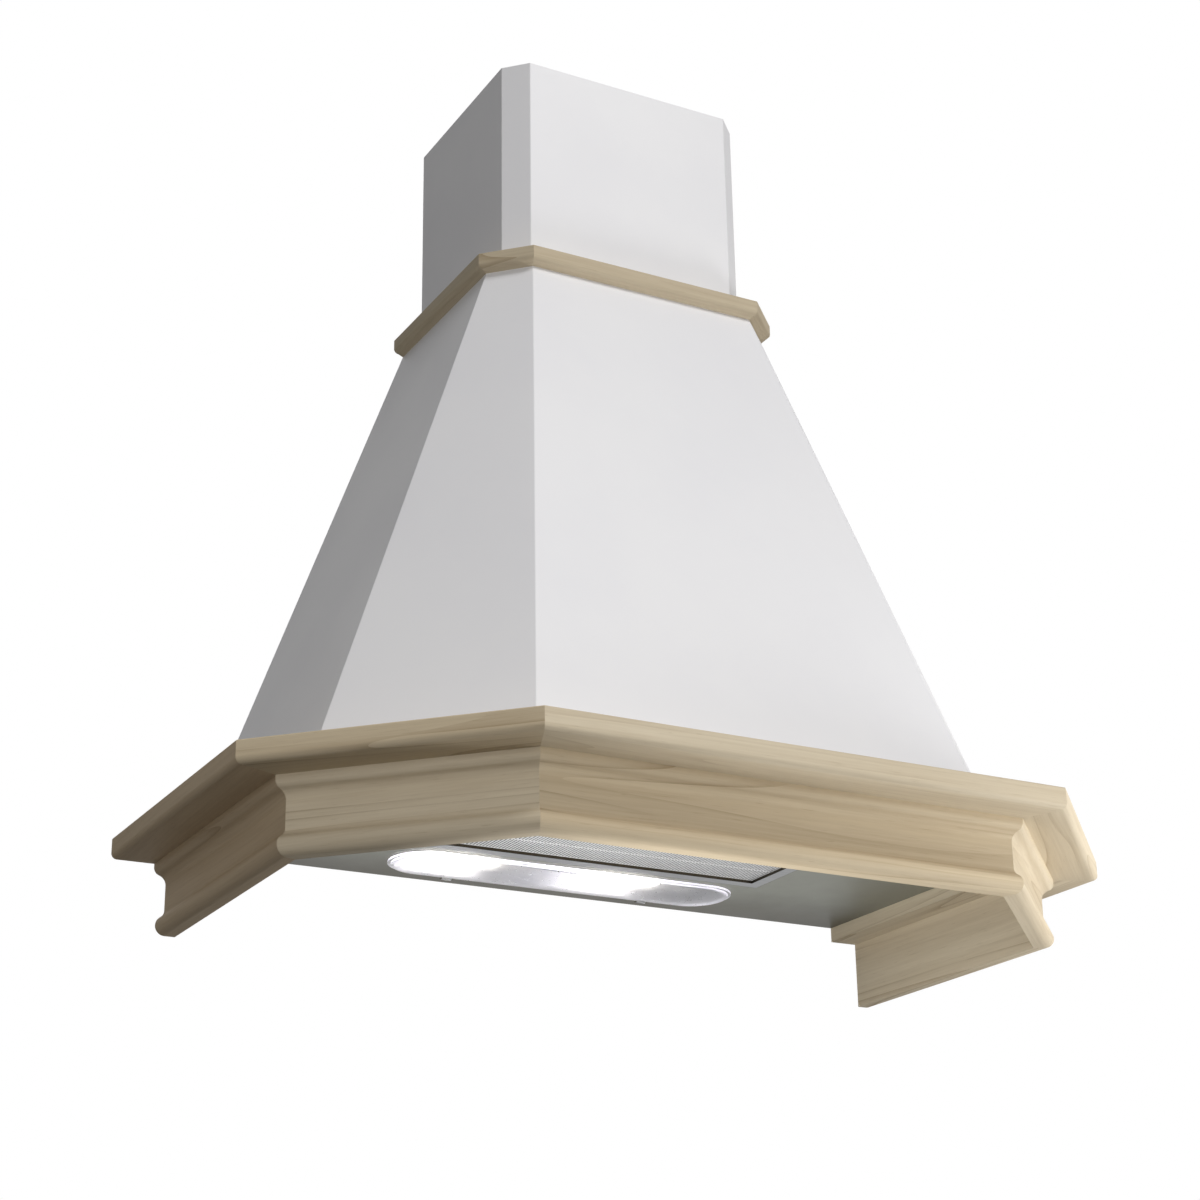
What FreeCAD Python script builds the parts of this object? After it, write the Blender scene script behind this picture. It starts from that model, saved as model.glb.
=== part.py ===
import FreeCAD, Part
import math
import os

# Wall range hood: enamelled sheet-steel canopy and chimney on a mitred timber frame.
# Millimetres. X to the right, Y into the wall (the wall is the plane y = 0), Z up.
# The pieces are drawn from the top of the timber frame (z = 0) and are lowered at the end,
# so that the origin lies on the wall, midway between the two hanging holes.

V = FreeCAD.Vector

# ---------------------------------------------------------------- driving dimensions

# Timber frame
FRAME_WIDTH = 900.0
FRAME_DEPTH = 520.0
FRAME_CORNER = 189.0            # legs of the 45 degree cut corners
BOARD_WIDTH = 96.0
BOARD_THICKNESS = 20.0
BOARD_EDGE_ROUND = 1.5
BOARD_NOSE_ROUND = 5.5
MOULDING_SETBACK = 42.0         # from the board's edge to the moulding's top band
MOULDING_THICKNESS = 23.5
MOULDING_HEIGHT = 68.0
MOULDING_BAND = 3.5
HOLLOW_DEPTH = 12.0             # how far the hollow lies behind the top band
HOLLOW_START = 20.0             # below the board
HOLLOW_END = 44.0
OGEE_RADIUS = 7.5
COVE_RADIUS = 7.4
BEAD_SETBACK = 3.8
BEAD_RADIUS = 9.5
DOWEL_RADIUS = 4.0
DOWEL_LENGTH = 24.0
DOWEL_END_GAP = 1.0

# Timber collar round the foot of the chimney
COLLAR_PROJECTION = 32.0
COLLAR_HEIGHT = 18.0
COLLAR_ROUND = 5.0
COLLAR_TOP_ROUND = 0.8
COLLAR_LIFT = 2.5               # rise of the underside between the canopy and the outer face
COLLAR_GAP = 0.4

# Canopy and chimney covers
LEDGE = 77.5                    # timber left showing around the foot of the canopy
CANOPY_HEIGHT = 570.0
CANOPY_TOP_LEDGE = 21.5         # canopy roof left showing around the chimney
SHEET = 1.0
BEND_RADIUS = 1.0               # inside the sheet's folds
CANOPY_FOOT = 16.5              # width of the flange turned in at the bottom
CHIMNEY_WIDTH = 281.0
CHIMNEY_DEPTH = 219.5
CHIMNEY_CORNER = 22.5
LOWER_CHIMNEY_LENGTH = 255.0
UPPER_CHIMNEY_LENGTH = 250.0
CHIMNEY_FOOT = 12.0
ROOF_LIP = 14.0                 # how far the canopy roof reaches inside the chimney
CHIMNEY_HEM = 13.0              # flange along each rear edge of a chimney cover
SLIDE_GAP = 0.8
BACK_SHEET = 1.2
BACK_FLANGE = 18.0
BACK_DROP = 4.0                 # how far the back plate reaches below the frame's top
WELD_GAP = 0.2
REST_GAP = 0.3

# Wall fixings
HANG_HEIGHT = 300.0
HANG_SPACING = 300.0
HANG_RADIUS = 4.0
SAFETY_HEIGHT = 45.0
SAFETY_SPACING = 500.0
SAFETY_RADIUS = 3.25
BRACKET_SPACING = 180.0
BRACKET_HOLE_RADIUS = 3.0
BRACKET_HEIGHT = 30.0
BRACKET_SHEET = 1.5
BRACKET_REACH = 38.0
BRACKET_DROP = 10.0             # from the top of the inner chimney cover

# Suction panel
PANEL_DROP = 5.0                # underside of the panel below the frame's top
PANEL_SHEET = 1.0
PANEL_GAP = 0.5
PANEL_FLANGE = 16.0
PANEL_UPSTAND = 20.0

# Grease filter
FILTER_WIDTH = 375.0
FILTER_REAR = 115.0             # from the wall
FILTER_MARGIN = 37.0            # from the filter's front to the boards
FILTER_THICKNESS = 10.0
FILTER_RIM = 13.0
MESH_RECESS = 3.0               # mesh above the rim's underside
FILTER_SHEET = 1.0
FILTER_GAP = 0.5
LATCH_RAIL = 30.0               # wider rim at the front, which holds the latch
MESH_SHEET = 0.8
MESH_COLUMNS = 30
MESH_ROWS = 9
MESH_BAR = 3.0
CORE_GAP = 0.2
HOOK_WIDTH = 20.0
HOOK_LENGTH = 8.0
HOOK_SPACING = 240.0
LATCH_WIDTH = 60.0
LATCH_DEPTH = 18.0
LATCH_THICKNESS = 3.6
LATCH_REACH = 5.0               # tongue beyond the filter's edge
LATCH_TRAVEL = 7.0
TONGUE_WIDTH = 24.0
PULL_WIDTH = 36.0
PULL_DEPTH = 5.0
PULL_DROP = 8.0
SPRING_SHEET = 0.5

# Lamps
LENS_LENGTH = 375.0
LENS_WIDTH = 77.0
LENS_CENTRE = 67.5              # from the wall
LENS_OFFSET = -8.0              # from the hood's middle
LENS_RIM = 6.0
LENS_SHEET = 2.0
LENS_BULGE = 2.4
KNUCKLE_RADIUS = 2.3
KNUCKLE_LENGTH = 10.0
LENS_PIN_RADIUS = 1.0
LENS_HINGE_SPACING = 220.0
HINGE_FOOT = 8.0
TRAY_HEIGHT = 48.0
TRAY_SHEET = 0.8
TRAY_FOOT = 5.0
HOLDER_RADIUS = 14.0
HOLDER_LENGTH = 44.0
BULB_RADIUS = 17.5
BULB_LENGTH = 82.0
BULB_OUTLINE = ((0.0, 0.46), (0.12, 0.72), (0.27, 0.95), (0.4, 1.0), (0.58, 0.89), (0.76, 0.62),
                (0.9, 0.33), (0.97, 0.17), (1.0, 0.0))
BULB_CAP_RADIUS = 7.0
BULB_CAP_LENGTH = 20.0
LAMP_HEIGHT = 21.0              # lamp centre line above the panel
LAMP_PITCH = 178.0
LAMP_OFFSET = -29.0             # middle of the two bulbs' glass, from the tray's middle
HOLDER_FOOT = 16.0

# Controls
CONTROL_GAP = 16.5              # from the filter's right edge
CONTROL_FRONT = 240.0           # from the frame's front edge
CONTROL_LENGTH = 92.0
CONTROL_DEPTH = 46.0
CONTROL_SHEET = 2.5
CONTROL_INSET = 7.0             # plate edge to panel cut-out
SWITCH_HEIGHT = 26.0
SWITCH_WALL = 2.0
KNOB_LENGTH = 14.0
KNOB_WIDTH = 11.0
KNOB_HEIGHT = 6.0
STEM_LENGTH = 4.0
STEM_WIDTH = 6.0
STEM_HEAD = 10.0
STEM_HEAD_THICKNESS = 2.0
SPEED_TRAVEL = 24.0
LIGHT_TRAVEL = 10.0
SLOT_GAP = 0.4
SPEED_SLOT_OFFSET = -18.0
LIGHT_SLOT_OFFSET = 24.0

# Blower
IMPELLER_RADIUS = 95.0
BLADE_DEPTH = 15.0
BLADE_SHEET = 1.2
BLADE_COUNT = 36
BLADE_LENGTH = 106.0
DISC_SHEET = 2.5
SHROUD_LENGTH = 4.0
HUB_RADIUS = 14.0
HUB_LENGTH = 18.0
SHAFT_RADIUS = 4.0
SHAFT_GAP = 0.05
SCROLL_RADIUS = 110.0           # inner radius of the scroll at its tongue
SCROLL_STEP = 16.0              # growth of the radius at each quarter turn
SCROLL_WALL = 2.5
SCROLL_WIDTH = 150.0
SCROLL_FLANGE = 8.0
SCROLL_CENTRE_HEIGHT = 235.0    # impeller centre above the frame's top
OUTLET_RISE = 60.0              # straight outlet above the scroll's tongue
DISC_SETBACK = 20.0             # impeller disc behind the rear wall of the scroll
INLET_RADIUS = 78.0
INLET_LIP = 10.0
MOTOR_RADIUS = 40.0
MOTOR_LENGTH = 84.0
MOTOR_FRONT = 11.0              # how far the motor stands out of the housing
MOTOR_BELL = 12.0
MOTOR_BELL_STEP = 5.0
GRILLE_SHEET = 3.0
GRILLE_RIM = 20.0
GRILLE_RING = 2.0
GRILLE_ARMS = 6
GRILLE_ARM_WIDTH = 5.0
GRILLE_SOCKET = 4.5
GRILLE_SOCKET_LENGTH = 9.0
GRILLE_GAP = 0.2
NUT_ACROSS_FLATS = 13.0
NUT_LENGTH = 6.0
HANGER_SPACING = 140.0
HANGER_LENGTH = 120.0
HANGER_HEIGHT = 40.0
HANGER_FOOT = 12.0
HANGER_SCREW_SPACING = 80.0

# Outlet for a 150 mm duct
SPIGOT_RADIUS = 74.5
SPIGOT_WALL = 2.0
SPIGOT_HEIGHT = 48.0
SPIGOT_PLATE = 3.0
SPIGOT_MARGIN = 8.0
SEAT_WIDTH = 3.0
SEAT_HEIGHT = 2.0
FLAP_SHEET = 1.2
FLAP_GAP = 1.2
FLAP_PIN_RADIUS = 1.5
FLAP_PIN_GAP = 0.07
FLAP_PIN_HEIGHT = 20.0
FLAP_BARREL = 3.0
FLAP_SETBACK = 3.6
FLAP_REACH = 66.0
BARREL_GAP = 1.0

# Electrical box
BOX_LEFT = -226.0
BOX_LENGTH = 130.0
BOX_BOTTOM = 70.0
BOX_HEIGHT = 118.0
BOX_DEPTH = 54.0
BOX_WALL = 2.0
TERMINAL_LENGTH = 60.0
TERMINAL_HEIGHT = 18.0
TERMINAL_DEPTH = 15.0
TERMINAL_WAYS = 5
CAPACITOR_RADIUS = 15.0
CAPACITOR_LENGTH = 62.0
GLAND_INSET = 14.0              # from the box's right end, under the opening into the chimney
GLAND_RADIUS = 9.0
GLAND_BORE = 4.0
GLAND_LENGTH = 26.0
GLAND_FLANGE = 4.0

# Fasteners
WOOD_SCREW_RADIUS = 2.0
WOOD_SCREW_LENGTH = 14.0
SCREW_HEAD_RADIUS = 3.6
SCREW_HEAD_HEIGHT = 2.2
SHEET_SCREW_RADIUS = 1.7
COLLAR_SCREW_LENGTH = 12.0
SCREW_GAP = 0.1

# ---------------------------------------------------------------- derived places

FRAME = (FRAME_WIDTH, FRAME_DEPTH, FRAME_CORNER)
CHIMNEY = (CHIMNEY_WIDTH, CHIMNEY_DEPTH, CHIMNEY_CORNER)
CHIMNEY_BASE = CANOPY_HEIGHT
PANEL_TOP = -PANEL_DROP + PANEL_SHEET
DUCT_Y = -CHIMNEY_DEPTH / 2
SCROLL_REAR = DUCT_Y + SCROLL_WIDTH / 2
SCROLL_FRONT = DUCT_Y - SCROLL_WIDTH / 2
SCROLL_LEFT = SCROLL_RADIUS + 2.5 * SCROLL_STEP
SCROLL_TONGUE = SCROLL_STEP / 2
IMPELLER_X = (SCROLL_LEFT - SCROLL_TONGUE) / 2
IMPELLER_Z = SCROLL_CENTRE_HEIGHT
TONGUE_Z = IMPELLER_Z + SCROLL_RADIUS - SCROLL_STEP / 2
OUTLET_Z = TONGUE_Z + OUTLET_RISE
DISC_Y = SCROLL_REAR - SCROLL_WALL - DISC_SETBACK
MOTOR_Y = SCROLL_FRONT - MOTOR_FRONT
BLADE_FOOT = IMPELLER_RADIUS - BLADE_DEPTH
FLAP_PIN_Z = OUTLET_Z + SPIGOT_PLATE + FLAP_PIN_HEIGHT
UPPER_CHIMNEY_BASE = CHIMNEY_BASE + SHEET + REST_GAP
UPPER_CHIMNEY_TOP = UPPER_CHIMNEY_BASE + UPPER_CHIMNEY_LENGTH
FILTER_DEPTH = FRAME_DEPTH - BOARD_WIDTH - FILTER_MARGIN - FILTER_REAR
FILTER_FRONT = -FILTER_REAR - FILTER_DEPTH
CONTROL_X = FILTER_WIDTH / 2 + CONTROL_GAP + CONTROL_LENGTH / 2
CONTROL_Y = FRAME_DEPTH - CONTROL_FRONT
FILTER_BOTTOM = -PANEL_DROP
FILTER_TOP = FILTER_BOTTOM + FILTER_THICKNESS
SIDES = ("side_left", "corner_left", "front", "corner_right", "side_right")


# ---------------------------------------------------------------- helpers

def box(x0, x1, y0, y1, z0, z1):
    corner = V(min(x0, x1), min(y0, y1), min(z0, z1))
    return Part.makeBox(abs(x1 - x0), abs(y1 - y0), abs(z1 - z0), corner)


def rod(start, direction, radius, length):
    return Part.makeCylinder(radius, length, start, direction)


def tube(start, direction, outer, inner, length):
    return rod(start, direction, outer, length).cut(rod(start, direction, inner, length))


def hexagon(start, direction, across_flats, length):
    """Hexagonal prism with its flats at the given distance."""
    radius = across_flats / math.sqrt(3)
    points = [V(radius * math.cos(k * math.pi / 3), radius * math.sin(k * math.pi / 3), 0)
              for k in range(7)]
    face = Part.Face(Part.makePolygon(points))
    face.Placement = FreeCAD.Placement(start, FreeCAD.Rotation(V(0, 0, 1), direction))
    return face.extrude(direction * length)


def joined(shapes):
    """One solid from shapes that touch or overlap."""
    return shapes[0].multiFuse(shapes[1:]).removeSplitter()


def group(shapes):
    """Separate solids that share one file."""
    return Part.makeCompound(shapes)


def plan(size, z, inset=0.0, back=0.0):
    """Outline of a five-sided body against the wall, from the wall's left end round to the right."""
    width, depth, corner = size
    half = width / 2 - inset
    front = depth - inset
    cut = corner - inset * (2 - math.sqrt(2))
    return [V(-half, back, z), V(-half, cut - front, z), V(cut - half, -front, z),
            V(half - cut, -front, z), V(half, cut - front, z), V(half, back, z)]


def face_of(points):
    return Part.Face(Part.makePolygon(points + points[:1]))


def prism(points, height):
    return face_of(points).extrude(V(0, 0, height))


def frustum(lower, upper):
    """Solid between two outlines whose matching sides are parallel."""
    count = len(lower)
    faces = [face_of(lower), face_of(upper)]
    for k in range(count):
        n = (k + 1) % count
        faces.append(face_of([lower[k], lower[n], upper[n], upper[k]]))
    return Part.makeSolid(Part.makeShell(faces)).removeSplitter()


def eased(body, radius):
    """Round the upright and sloping folds of a body that stands against the wall."""
    folds = []
    for edge in body.Edges:
        ends = [vertex.Point for vertex in edge.Vertexes]
        rises = abs(ends[0].z - ends[-1].z) > SHEET / 2
        if rises and edge.CenterOfMass.y < body.BoundBox.YMax - 1:
            folds.append(edge)
    return body.makeFillet(radius, folds)


def section(start, steps):
    """Face in the X-Z plane: each step is one point for a line, or two for an arc through the first."""
    edges = []
    here = V(start[0], 0, start[1])
    for step in steps:
        points = [V(x, 0, z) for x, z in step]
        if len(points) == 1:
            edges.append(Part.makeLine(here, points[0]))
        else:
            edges.append(Part.Arc(here, points[0], points[1]).toShape())
        here = points[-1]
    return Part.Face(Part.Wire(edges))


def quarter(start, end, centre):
    """Arc step from start to end about centre."""
    radius = math.hypot(start[0] - centre[0], start[1] - centre[1])
    middle = ((start[0] + end[0]) / 2 - centre[0], (start[1] + end[1]) / 2 - centre[1])
    reach = radius / math.hypot(*middle)
    return [(centre[0] + middle[0] * reach, centre[1] + middle[1] * reach), end]


def double_curve(start, end, first_radius):
    """Two arc steps that leave start and reach end straight down, in an S."""
    across = end[0] - start[0]
    drop = start[1] - end[1]
    turn = 2 * math.atan2(abs(across), drop)
    second_radius = drop / math.sin(turn) - first_radius
    side = math.copysign(1, across)

    def near(angle):
        return (start[0] + side * first_radius * (1 - math.cos(angle)),
                start[1] - first_radius * math.sin(angle))

    def far(angle):
        return (end[0] - side * second_radius * (1 - math.cos(angle)),
                end[1] + second_radius * math.sin(angle))

    return [[near(turn / 2), near(turn)], [far(turn / 2), end]]


def mitred(size, index, profile, reach, low, high):
    """Run a profile, drawn inwards from the outline's edge, along one side of a plan between mitres."""
    outer = plan(size, low, -reach)
    inner = plan(size, low, reach)
    wedge = prism([outer[index], outer[index + 1], inner[index + 1], inner[index]], high - low)
    corners = plan(size, 0)
    start, end = corners[index], corners[index + 1]
    run = end - start
    inwards = V(-run.y, run.x, 0).normalize()
    turn = FreeCAD.Rotation(V(1, 0, 0), inwards)
    if inwards.x < -0.999:
        turn = FreeCAD.Rotation(V(0, 0, 1), 180)
    strip = profile.copy()
    length = run.Length + 2 * reach
    sideways = V(-inwards.y, inwards.x, 0)
    middle = (start + end) * 0.5 - sideways * (length / 2)
    strip.Placement = FreeCAD.Placement(middle, turn)
    return strip.extrude(sideways * length).common(wedge)


def screw(seat, direction, radius, length):
    """Pan-head screw: its head stands on the seat and its shank runs along the direction."""
    head = rod(seat - direction * SCREW_HEAD_HEIGHT, direction, SCREW_HEAD_RADIUS, SCREW_HEAD_HEIGHT)
    head = head.makeFillet(SCREW_HEAD_HEIGHT * 0.45, [head.Edges[0]])
    slot_width = radius * 0.4
    slot = box(-SCREW_HEAD_RADIUS * 0.6, SCREW_HEAD_RADIUS * 0.6, -slot_width, slot_width, 0,
               SCREW_HEAD_HEIGHT * 0.5)
    slot = slot.fuse(slot.rotated(V(0, 0, 0), V(0, 0, 1), 90))
    slot.Placement = FreeCAD.Placement(seat - direction * SCREW_HEAD_HEIGHT,
                                       FreeCAD.Rotation(V(0, 0, 1), direction))
    return head.cut(slot).fuse(rod(seat, direction, radius, length)).removeSplitter()


def stadium(length, width, centre, height):
    """Solid with straight long sides along X and round ends, on the centre of its lower face."""
    radius = width / 2
    half = length / 2 - radius
    straight = box(centre.x - half, centre.x + half, centre.y - radius, centre.y + radius, centre.z,
                   centre.z + height)
    ends = [rod(centre + V(side * half, 0, 0), V(0, 0, 1), radius, height) for side in (-1, 1)]
    return joined([straight] + ends)


def save(name, shape):
    """Lower the piece so that the origin is at the hanging holes, and write it."""
    placed = shape.copy()
    placed.translate(V(0, 0, -HANG_HEIGHT))
    placed.exportStep("parts/" + name + ".step")


# ---------------------------------------------------------------- timber frame

def board_profile():
    """Top board: square inner edge, eased upper edge, rounded nose below."""
    width, thick = BOARD_WIDTH, BOARD_THICKNESS
    edge, nose = BOARD_EDGE_ROUND, BOARD_NOSE_ROUND
    return section((width, 0), [
        [(edge, 0)],
        quarter((edge, 0), (0, -edge), (edge, -edge)),
        [(0, nose - thick)],
        quarter((0, nose - thick), (nose, -thick), (nose, nose - thick)),
        [(width, -thick)],
        [(width, 0)],
    ])


def moulding_profile():
    """Cornice moulding: top band, ogee, long hollow, cove and bead."""
    top = -BOARD_THICKNESS
    bottom = top - MOULDING_HEIGHT
    outer = MOULDING_SETBACK
    inner = outer + MOULDING_THICKNESS
    hollow = outer + HOLLOW_DEPTH
    bead = outer + BEAD_SETBACK
    bead_z = bottom + BEAD_RADIUS
    steps = [[(outer, top)], [(outer, top - MOULDING_BAND)]]
    steps += double_curve((outer, top - MOULDING_BAND), (hollow, top - HOLLOW_START), OGEE_RADIUS)
    steps += [[(hollow, top - HOLLOW_END)]]
    steps += double_curve((hollow, top - HOLLOW_END), (bead, bead_z), COVE_RADIUS)
    steps += [quarter((bead, bead_z), (bead + BEAD_RADIUS, bottom), (bead + BEAD_RADIUS, bead_z))]
    steps += [[(inner, bottom)], [(inner, top)]]
    return section((inner, top), steps)


def frame_dowels(slack=0.0):
    """Dowels across the board mitres, and upright ones from the boards into the mouldings."""
    length = DOWEL_LENGTH + 2 * slack
    shapes = []
    for inset in (BOARD_WIDTH * 0.3, BOARD_WIDTH * 0.72):
        points = plan(FRAME, -BOARD_THICKNESS / 2, inset)
        outer = plan(FRAME, -BOARD_THICKNESS / 2)
        for k in range(1, 5):
            mitre = (outer[k] - points[k]).normalize()
            across = V(-mitre.y, mitre.x, 0)
            shapes.append(rod(points[k] - across * (length / 2), across, DOWEL_RADIUS, length))
    line = MOULDING_SETBACK + HOLLOW_DEPTH + (MOULDING_THICKNESS - HOLLOW_DEPTH) / 2
    points = plan(FRAME, -BOARD_THICKNESS - length / 2, line)
    for k in range(5):
        for share in (0.25, 0.75):
            foot = points[k] + (points[k + 1] - points[k]) * share
            shapes.append(rod(foot, V(0, 0, 1), DOWEL_RADIUS, length))
    return shapes


def frame_screw_places(z):
    """Points on the canopy's foot, where its screws enter the boards."""
    points = plan(FRAME, z, LEDGE + CANOPY_FOOT * 0.62)
    shares = {0: (0.2, 0.75), 1: (0.5,), 2: (0.15, 0.5, 0.85), 3: (0.5,), 4: (0.25, 0.8)}
    return [points[k] + (points[k + 1] - points[k]) * share for k in shares for share in shares[k]]


def timber_frame():
    holes = frame_dowels(DOWEL_END_GAP)
    pilots = [rod(p, V(0, 0, -1), WOOD_SCREW_RADIUS, WOOD_SCREW_LENGTH) for p in frame_screw_places(0)]
    for k, name in enumerate(SIDES):
        board = mitred(FRAME, k, board_profile(), BOARD_WIDTH, -BOARD_THICKNESS, 0)
        save("board_" + name, board.cut(holes + pilots))
        reach = MOULDING_SETBACK + MOULDING_THICKNESS
        moulding = mitred(FRAME, k, moulding_profile(), reach, -BOARD_THICKNESS - MOULDING_HEIGHT,
                          -BOARD_THICKNESS)
        save("moulding_" + name, moulding.cut(holes))
    save("frame_dowels", group(frame_dowels()))
    seat = SHEET + PANEL_SHEET
    save("frame_screws", group([screw(p, V(0, 0, -1), WOOD_SCREW_RADIUS, seat + WOOD_SCREW_LENGTH)
                                for p in frame_screw_places(seat)]))


# ---------------------------------------------------------------- timber collar

def collar_screw_places():
    points = plan(CHIMNEY, CHIMNEY_BASE - SHEET, -CANOPY_TOP_LEDGE * 0.55)
    return [points[k] + (points[k + 1] - points[k]) * share for k in (0, 2, 4) for share in (0.25, 0.75)]


def timber_collar():
    """Five mitred pieces on the canopy's roof, with a rounded lower edge."""
    outline = (CHIMNEY_WIDTH + 2 * COLLAR_PROJECTION, CHIMNEY_DEPTH + COLLAR_PROJECTION,
               CHIMNEY_CORNER + COLLAR_PROJECTION * (2 - math.sqrt(2)))
    low = CHIMNEY_BASE
    high = low + COLLAR_HEIGHT
    inner = COLLAR_PROJECTION - COLLAR_GAP
    seat = COLLAR_PROJECTION - CANOPY_TOP_LEDGE
    lip = low + COLLAR_LIFT
    edge, belly = COLLAR_TOP_ROUND, COLLAR_ROUND
    profile = section((inner, high), [
        [(edge, high)],
        quarter((edge, high), (0, high - edge), (edge, high - edge)),
        [(0, lip + belly)],
        quarter((0, lip + belly), (belly, lip), (belly, lip + belly)),
        [(seat, low)],
        [(inner, low)],
        [(inner, high)],
    ])
    places = collar_screw_places()
    pilots = [rod(p, V(0, 0, 1), SHEET_SCREW_RADIUS, COLLAR_SCREW_LENGTH) for p in places]
    for k, name in enumerate(SIDES):
        piece = mitred(outline, k, profile, COLLAR_PROJECTION, low, high)
        save("collar_" + name, piece.cut(pilots))
    save("collar_screws", group([screw(p, V(0, 0, 1), SHEET_SCREW_RADIUS, COLLAR_SCREW_LENGTH)
                                 for p in places]))


# ---------------------------------------------------------------- canopy

def canopy_body(inset, back=0.0):
    """Solid bounded by the canopy's slopes, set in by a distance."""
    foot = plan(FRAME, 0, LEDGE + inset, back)
    roof = plan(CHIMNEY, CANOPY_HEIGHT, inset - CANOPY_TOP_LEDGE, back)
    return frustum(foot, roof)


def chimney_screw_places(z):
    points = plan(CHIMNEY, z, SHEET + SLIDE_GAP + SHEET + SCREW_HEAD_RADIUS + REST_GAP)
    return [points[k] + (points[k + 1] - points[k]) * share for k, share in
            ((0, 0.5), (2, 0.2), (2, 0.8), (4, 0.5))]


def canopy():
    outer = eased(canopy_body(0), BEND_RADIUS + SHEET)
    shell = outer.cut(eased(canopy_body(SHEET, SHEET), BEND_RADIUS))
    clear = BACK_SHEET + WELD_GAP
    foot = prism(plan(FRAME, 0, LEDGE, -clear), SHEET)
    foot = foot.cut(prism(plan(FRAME, 0, LEDGE + CANOPY_FOOT), SHEET))
    roof = prism(plan(CHIMNEY, CANOPY_HEIGHT - SHEET, -CANOPY_TOP_LEDGE, -clear), SHEET)
    roof = roof.cut(prism(plan(CHIMNEY, CANOPY_HEIGHT - SHEET, ROOF_LIP, -ROOF_LIP), SHEET))
    shell = joined([shell, foot.common(outer), roof])
    holes = [rod(p, V(0, 0, -1), WOOD_SCREW_RADIUS + SCREW_GAP, SHEET)
             for p in frame_screw_places(SHEET)]
    holes += [rod(p, V(0, 0, 1), SHEET_SCREW_RADIUS + SCREW_GAP, SHEET) for p in collar_screw_places()]
    holes += [rod(p, V(0, 0, -1), SHEET_SCREW_RADIUS + SCREW_GAP, SHEET)
              for p in chimney_screw_places(CANOPY_HEIGHT)]
    save("canopy_shell", shell.cut(holes))


def back_plate():
    """Plate against the wall with flanges welded inside the canopy's sloping sides."""
    inset = SHEET + WELD_GAP
    top = CANOPY_HEIGHT - SHEET - WELD_GAP
    base = SHEET + PANEL_SHEET + SCREW_HEAD_HEIGHT + WELD_GAP
    body = canopy_body(inset)
    flanged = body.cut(canopy_body(inset + BACK_SHEET, BACK_SHEET))
    reach = FRAME_WIDTH
    plate = body.common(box(-reach, reach, -BACK_SHEET, 0, 0, top))
    flanges = flanged.common(box(-reach, reach, -BACK_FLANGE, 0, base, top))
    half_foot = FRAME_WIDTH / 2 - BOARD_WIDTH - PANEL_GAP
    trim = [box(side * half_foot, side * reach, -BACK_SHEET, 0, 0, base) for side in (-1, 1)]
    skirt = box(-half_foot, half_foot, -BACK_SHEET, 0, -BACK_DROP, base)
    shape = joined([plate.cut(trim), flanges, skirt])
    holes = []
    for side in (-1, 1):
        hang = V(side * HANG_SPACING / 2, -BACK_SHEET, HANG_HEIGHT)
        holes.append(rod(hang, V(0, 1, 0), HANG_RADIUS, BACK_SHEET))
        safety = V(side * SAFETY_SPACING / 2, -BACK_SHEET, SAFETY_HEIGHT)
        holes.append(rod(safety, V(0, 1, 0), SAFETY_RADIUS, BACK_SHEET))
    save("canopy_back_plate", shape.cut(holes))


# ---------------------------------------------------------------- chimney covers

def cover(inset, base, length, hem_y):
    """Chimney cover: three-sided sheet with cut corners, open to the wall but for two hems."""
    outer = eased(prism(plan(CHIMNEY, base, inset, hem_y), length), BEND_RADIUS + SHEET)
    inner = eased(prism(plan(CHIMNEY, base, inset + SHEET, hem_y + SHEET), length), BEND_RADIUS)
    half = CHIMNEY_WIDTH / 2 - inset
    hems = [box(side * (half - CHIMNEY_HEM), side * half, hem_y - SHEET, hem_y, base, base + length)
            for side in (-1, 1)]
    return joined([outer.cut(inner)] + hems)


def lower_chimney():
    shell = cover(0, CHIMNEY_BASE, LOWER_CHIMNEY_LENGTH, 0)
    foot = eased(prism(plan(CHIMNEY, CHIMNEY_BASE), SHEET), BEND_RADIUS + SHEET)
    foot = foot.cut(prism(plan(CHIMNEY, CHIMNEY_BASE, CHIMNEY_FOOT, 0), SHEET))
    holes = [rod(p, V(0, 0, -1), SHEET_SCREW_RADIUS + SCREW_GAP, SHEET)
             for p in chimney_screw_places(CHIMNEY_BASE + SHEET)]
    save("lower_chimney", joined([shell, foot]).cut(holes))
    seat = CHIMNEY_BASE + SHEET
    save("chimney_screws", group([screw(p, V(0, 0, -1), SHEET_SCREW_RADIUS, SCREW_HEAD_HEIGHT + 2 * SHEET)
                                  for p in chimney_screw_places(seat)]))


def bracket_screw_places():
    """Inner faces of the bracket's ears, one each side."""
    inner_wall = CHIMNEY_WIDTH / 2 - 2 * SHEET - SLIDE_GAP
    x = inner_wall - REST_GAP - BRACKET_SHEET
    y = -BRACKET_REACH * 0.65
    z = UPPER_CHIMNEY_TOP - BRACKET_DROP - BRACKET_HEIGHT / 2
    return [(side, V(side * x, y, z)) for side in (-1, 1)]


def upper_chimney():
    hem_y = -SHEET - SLIDE_GAP
    shell = cover(SHEET + SLIDE_GAP, UPPER_CHIMNEY_BASE, UPPER_CHIMNEY_LENGTH, hem_y)
    reach = BRACKET_SHEET + REST_GAP + SHEET
    holes = [rod(p, V(side, 0, 0), SHEET_SCREW_RADIUS + SCREW_GAP, reach)
             for side, p in bracket_screw_places()]
    save("upper_chimney", shell.cut(holes))
    save("bracket_screws", group([screw(p, V(side, 0, 0), SHEET_SCREW_RADIUS, reach)
                                  for side, p in bracket_screw_places()]))


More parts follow.
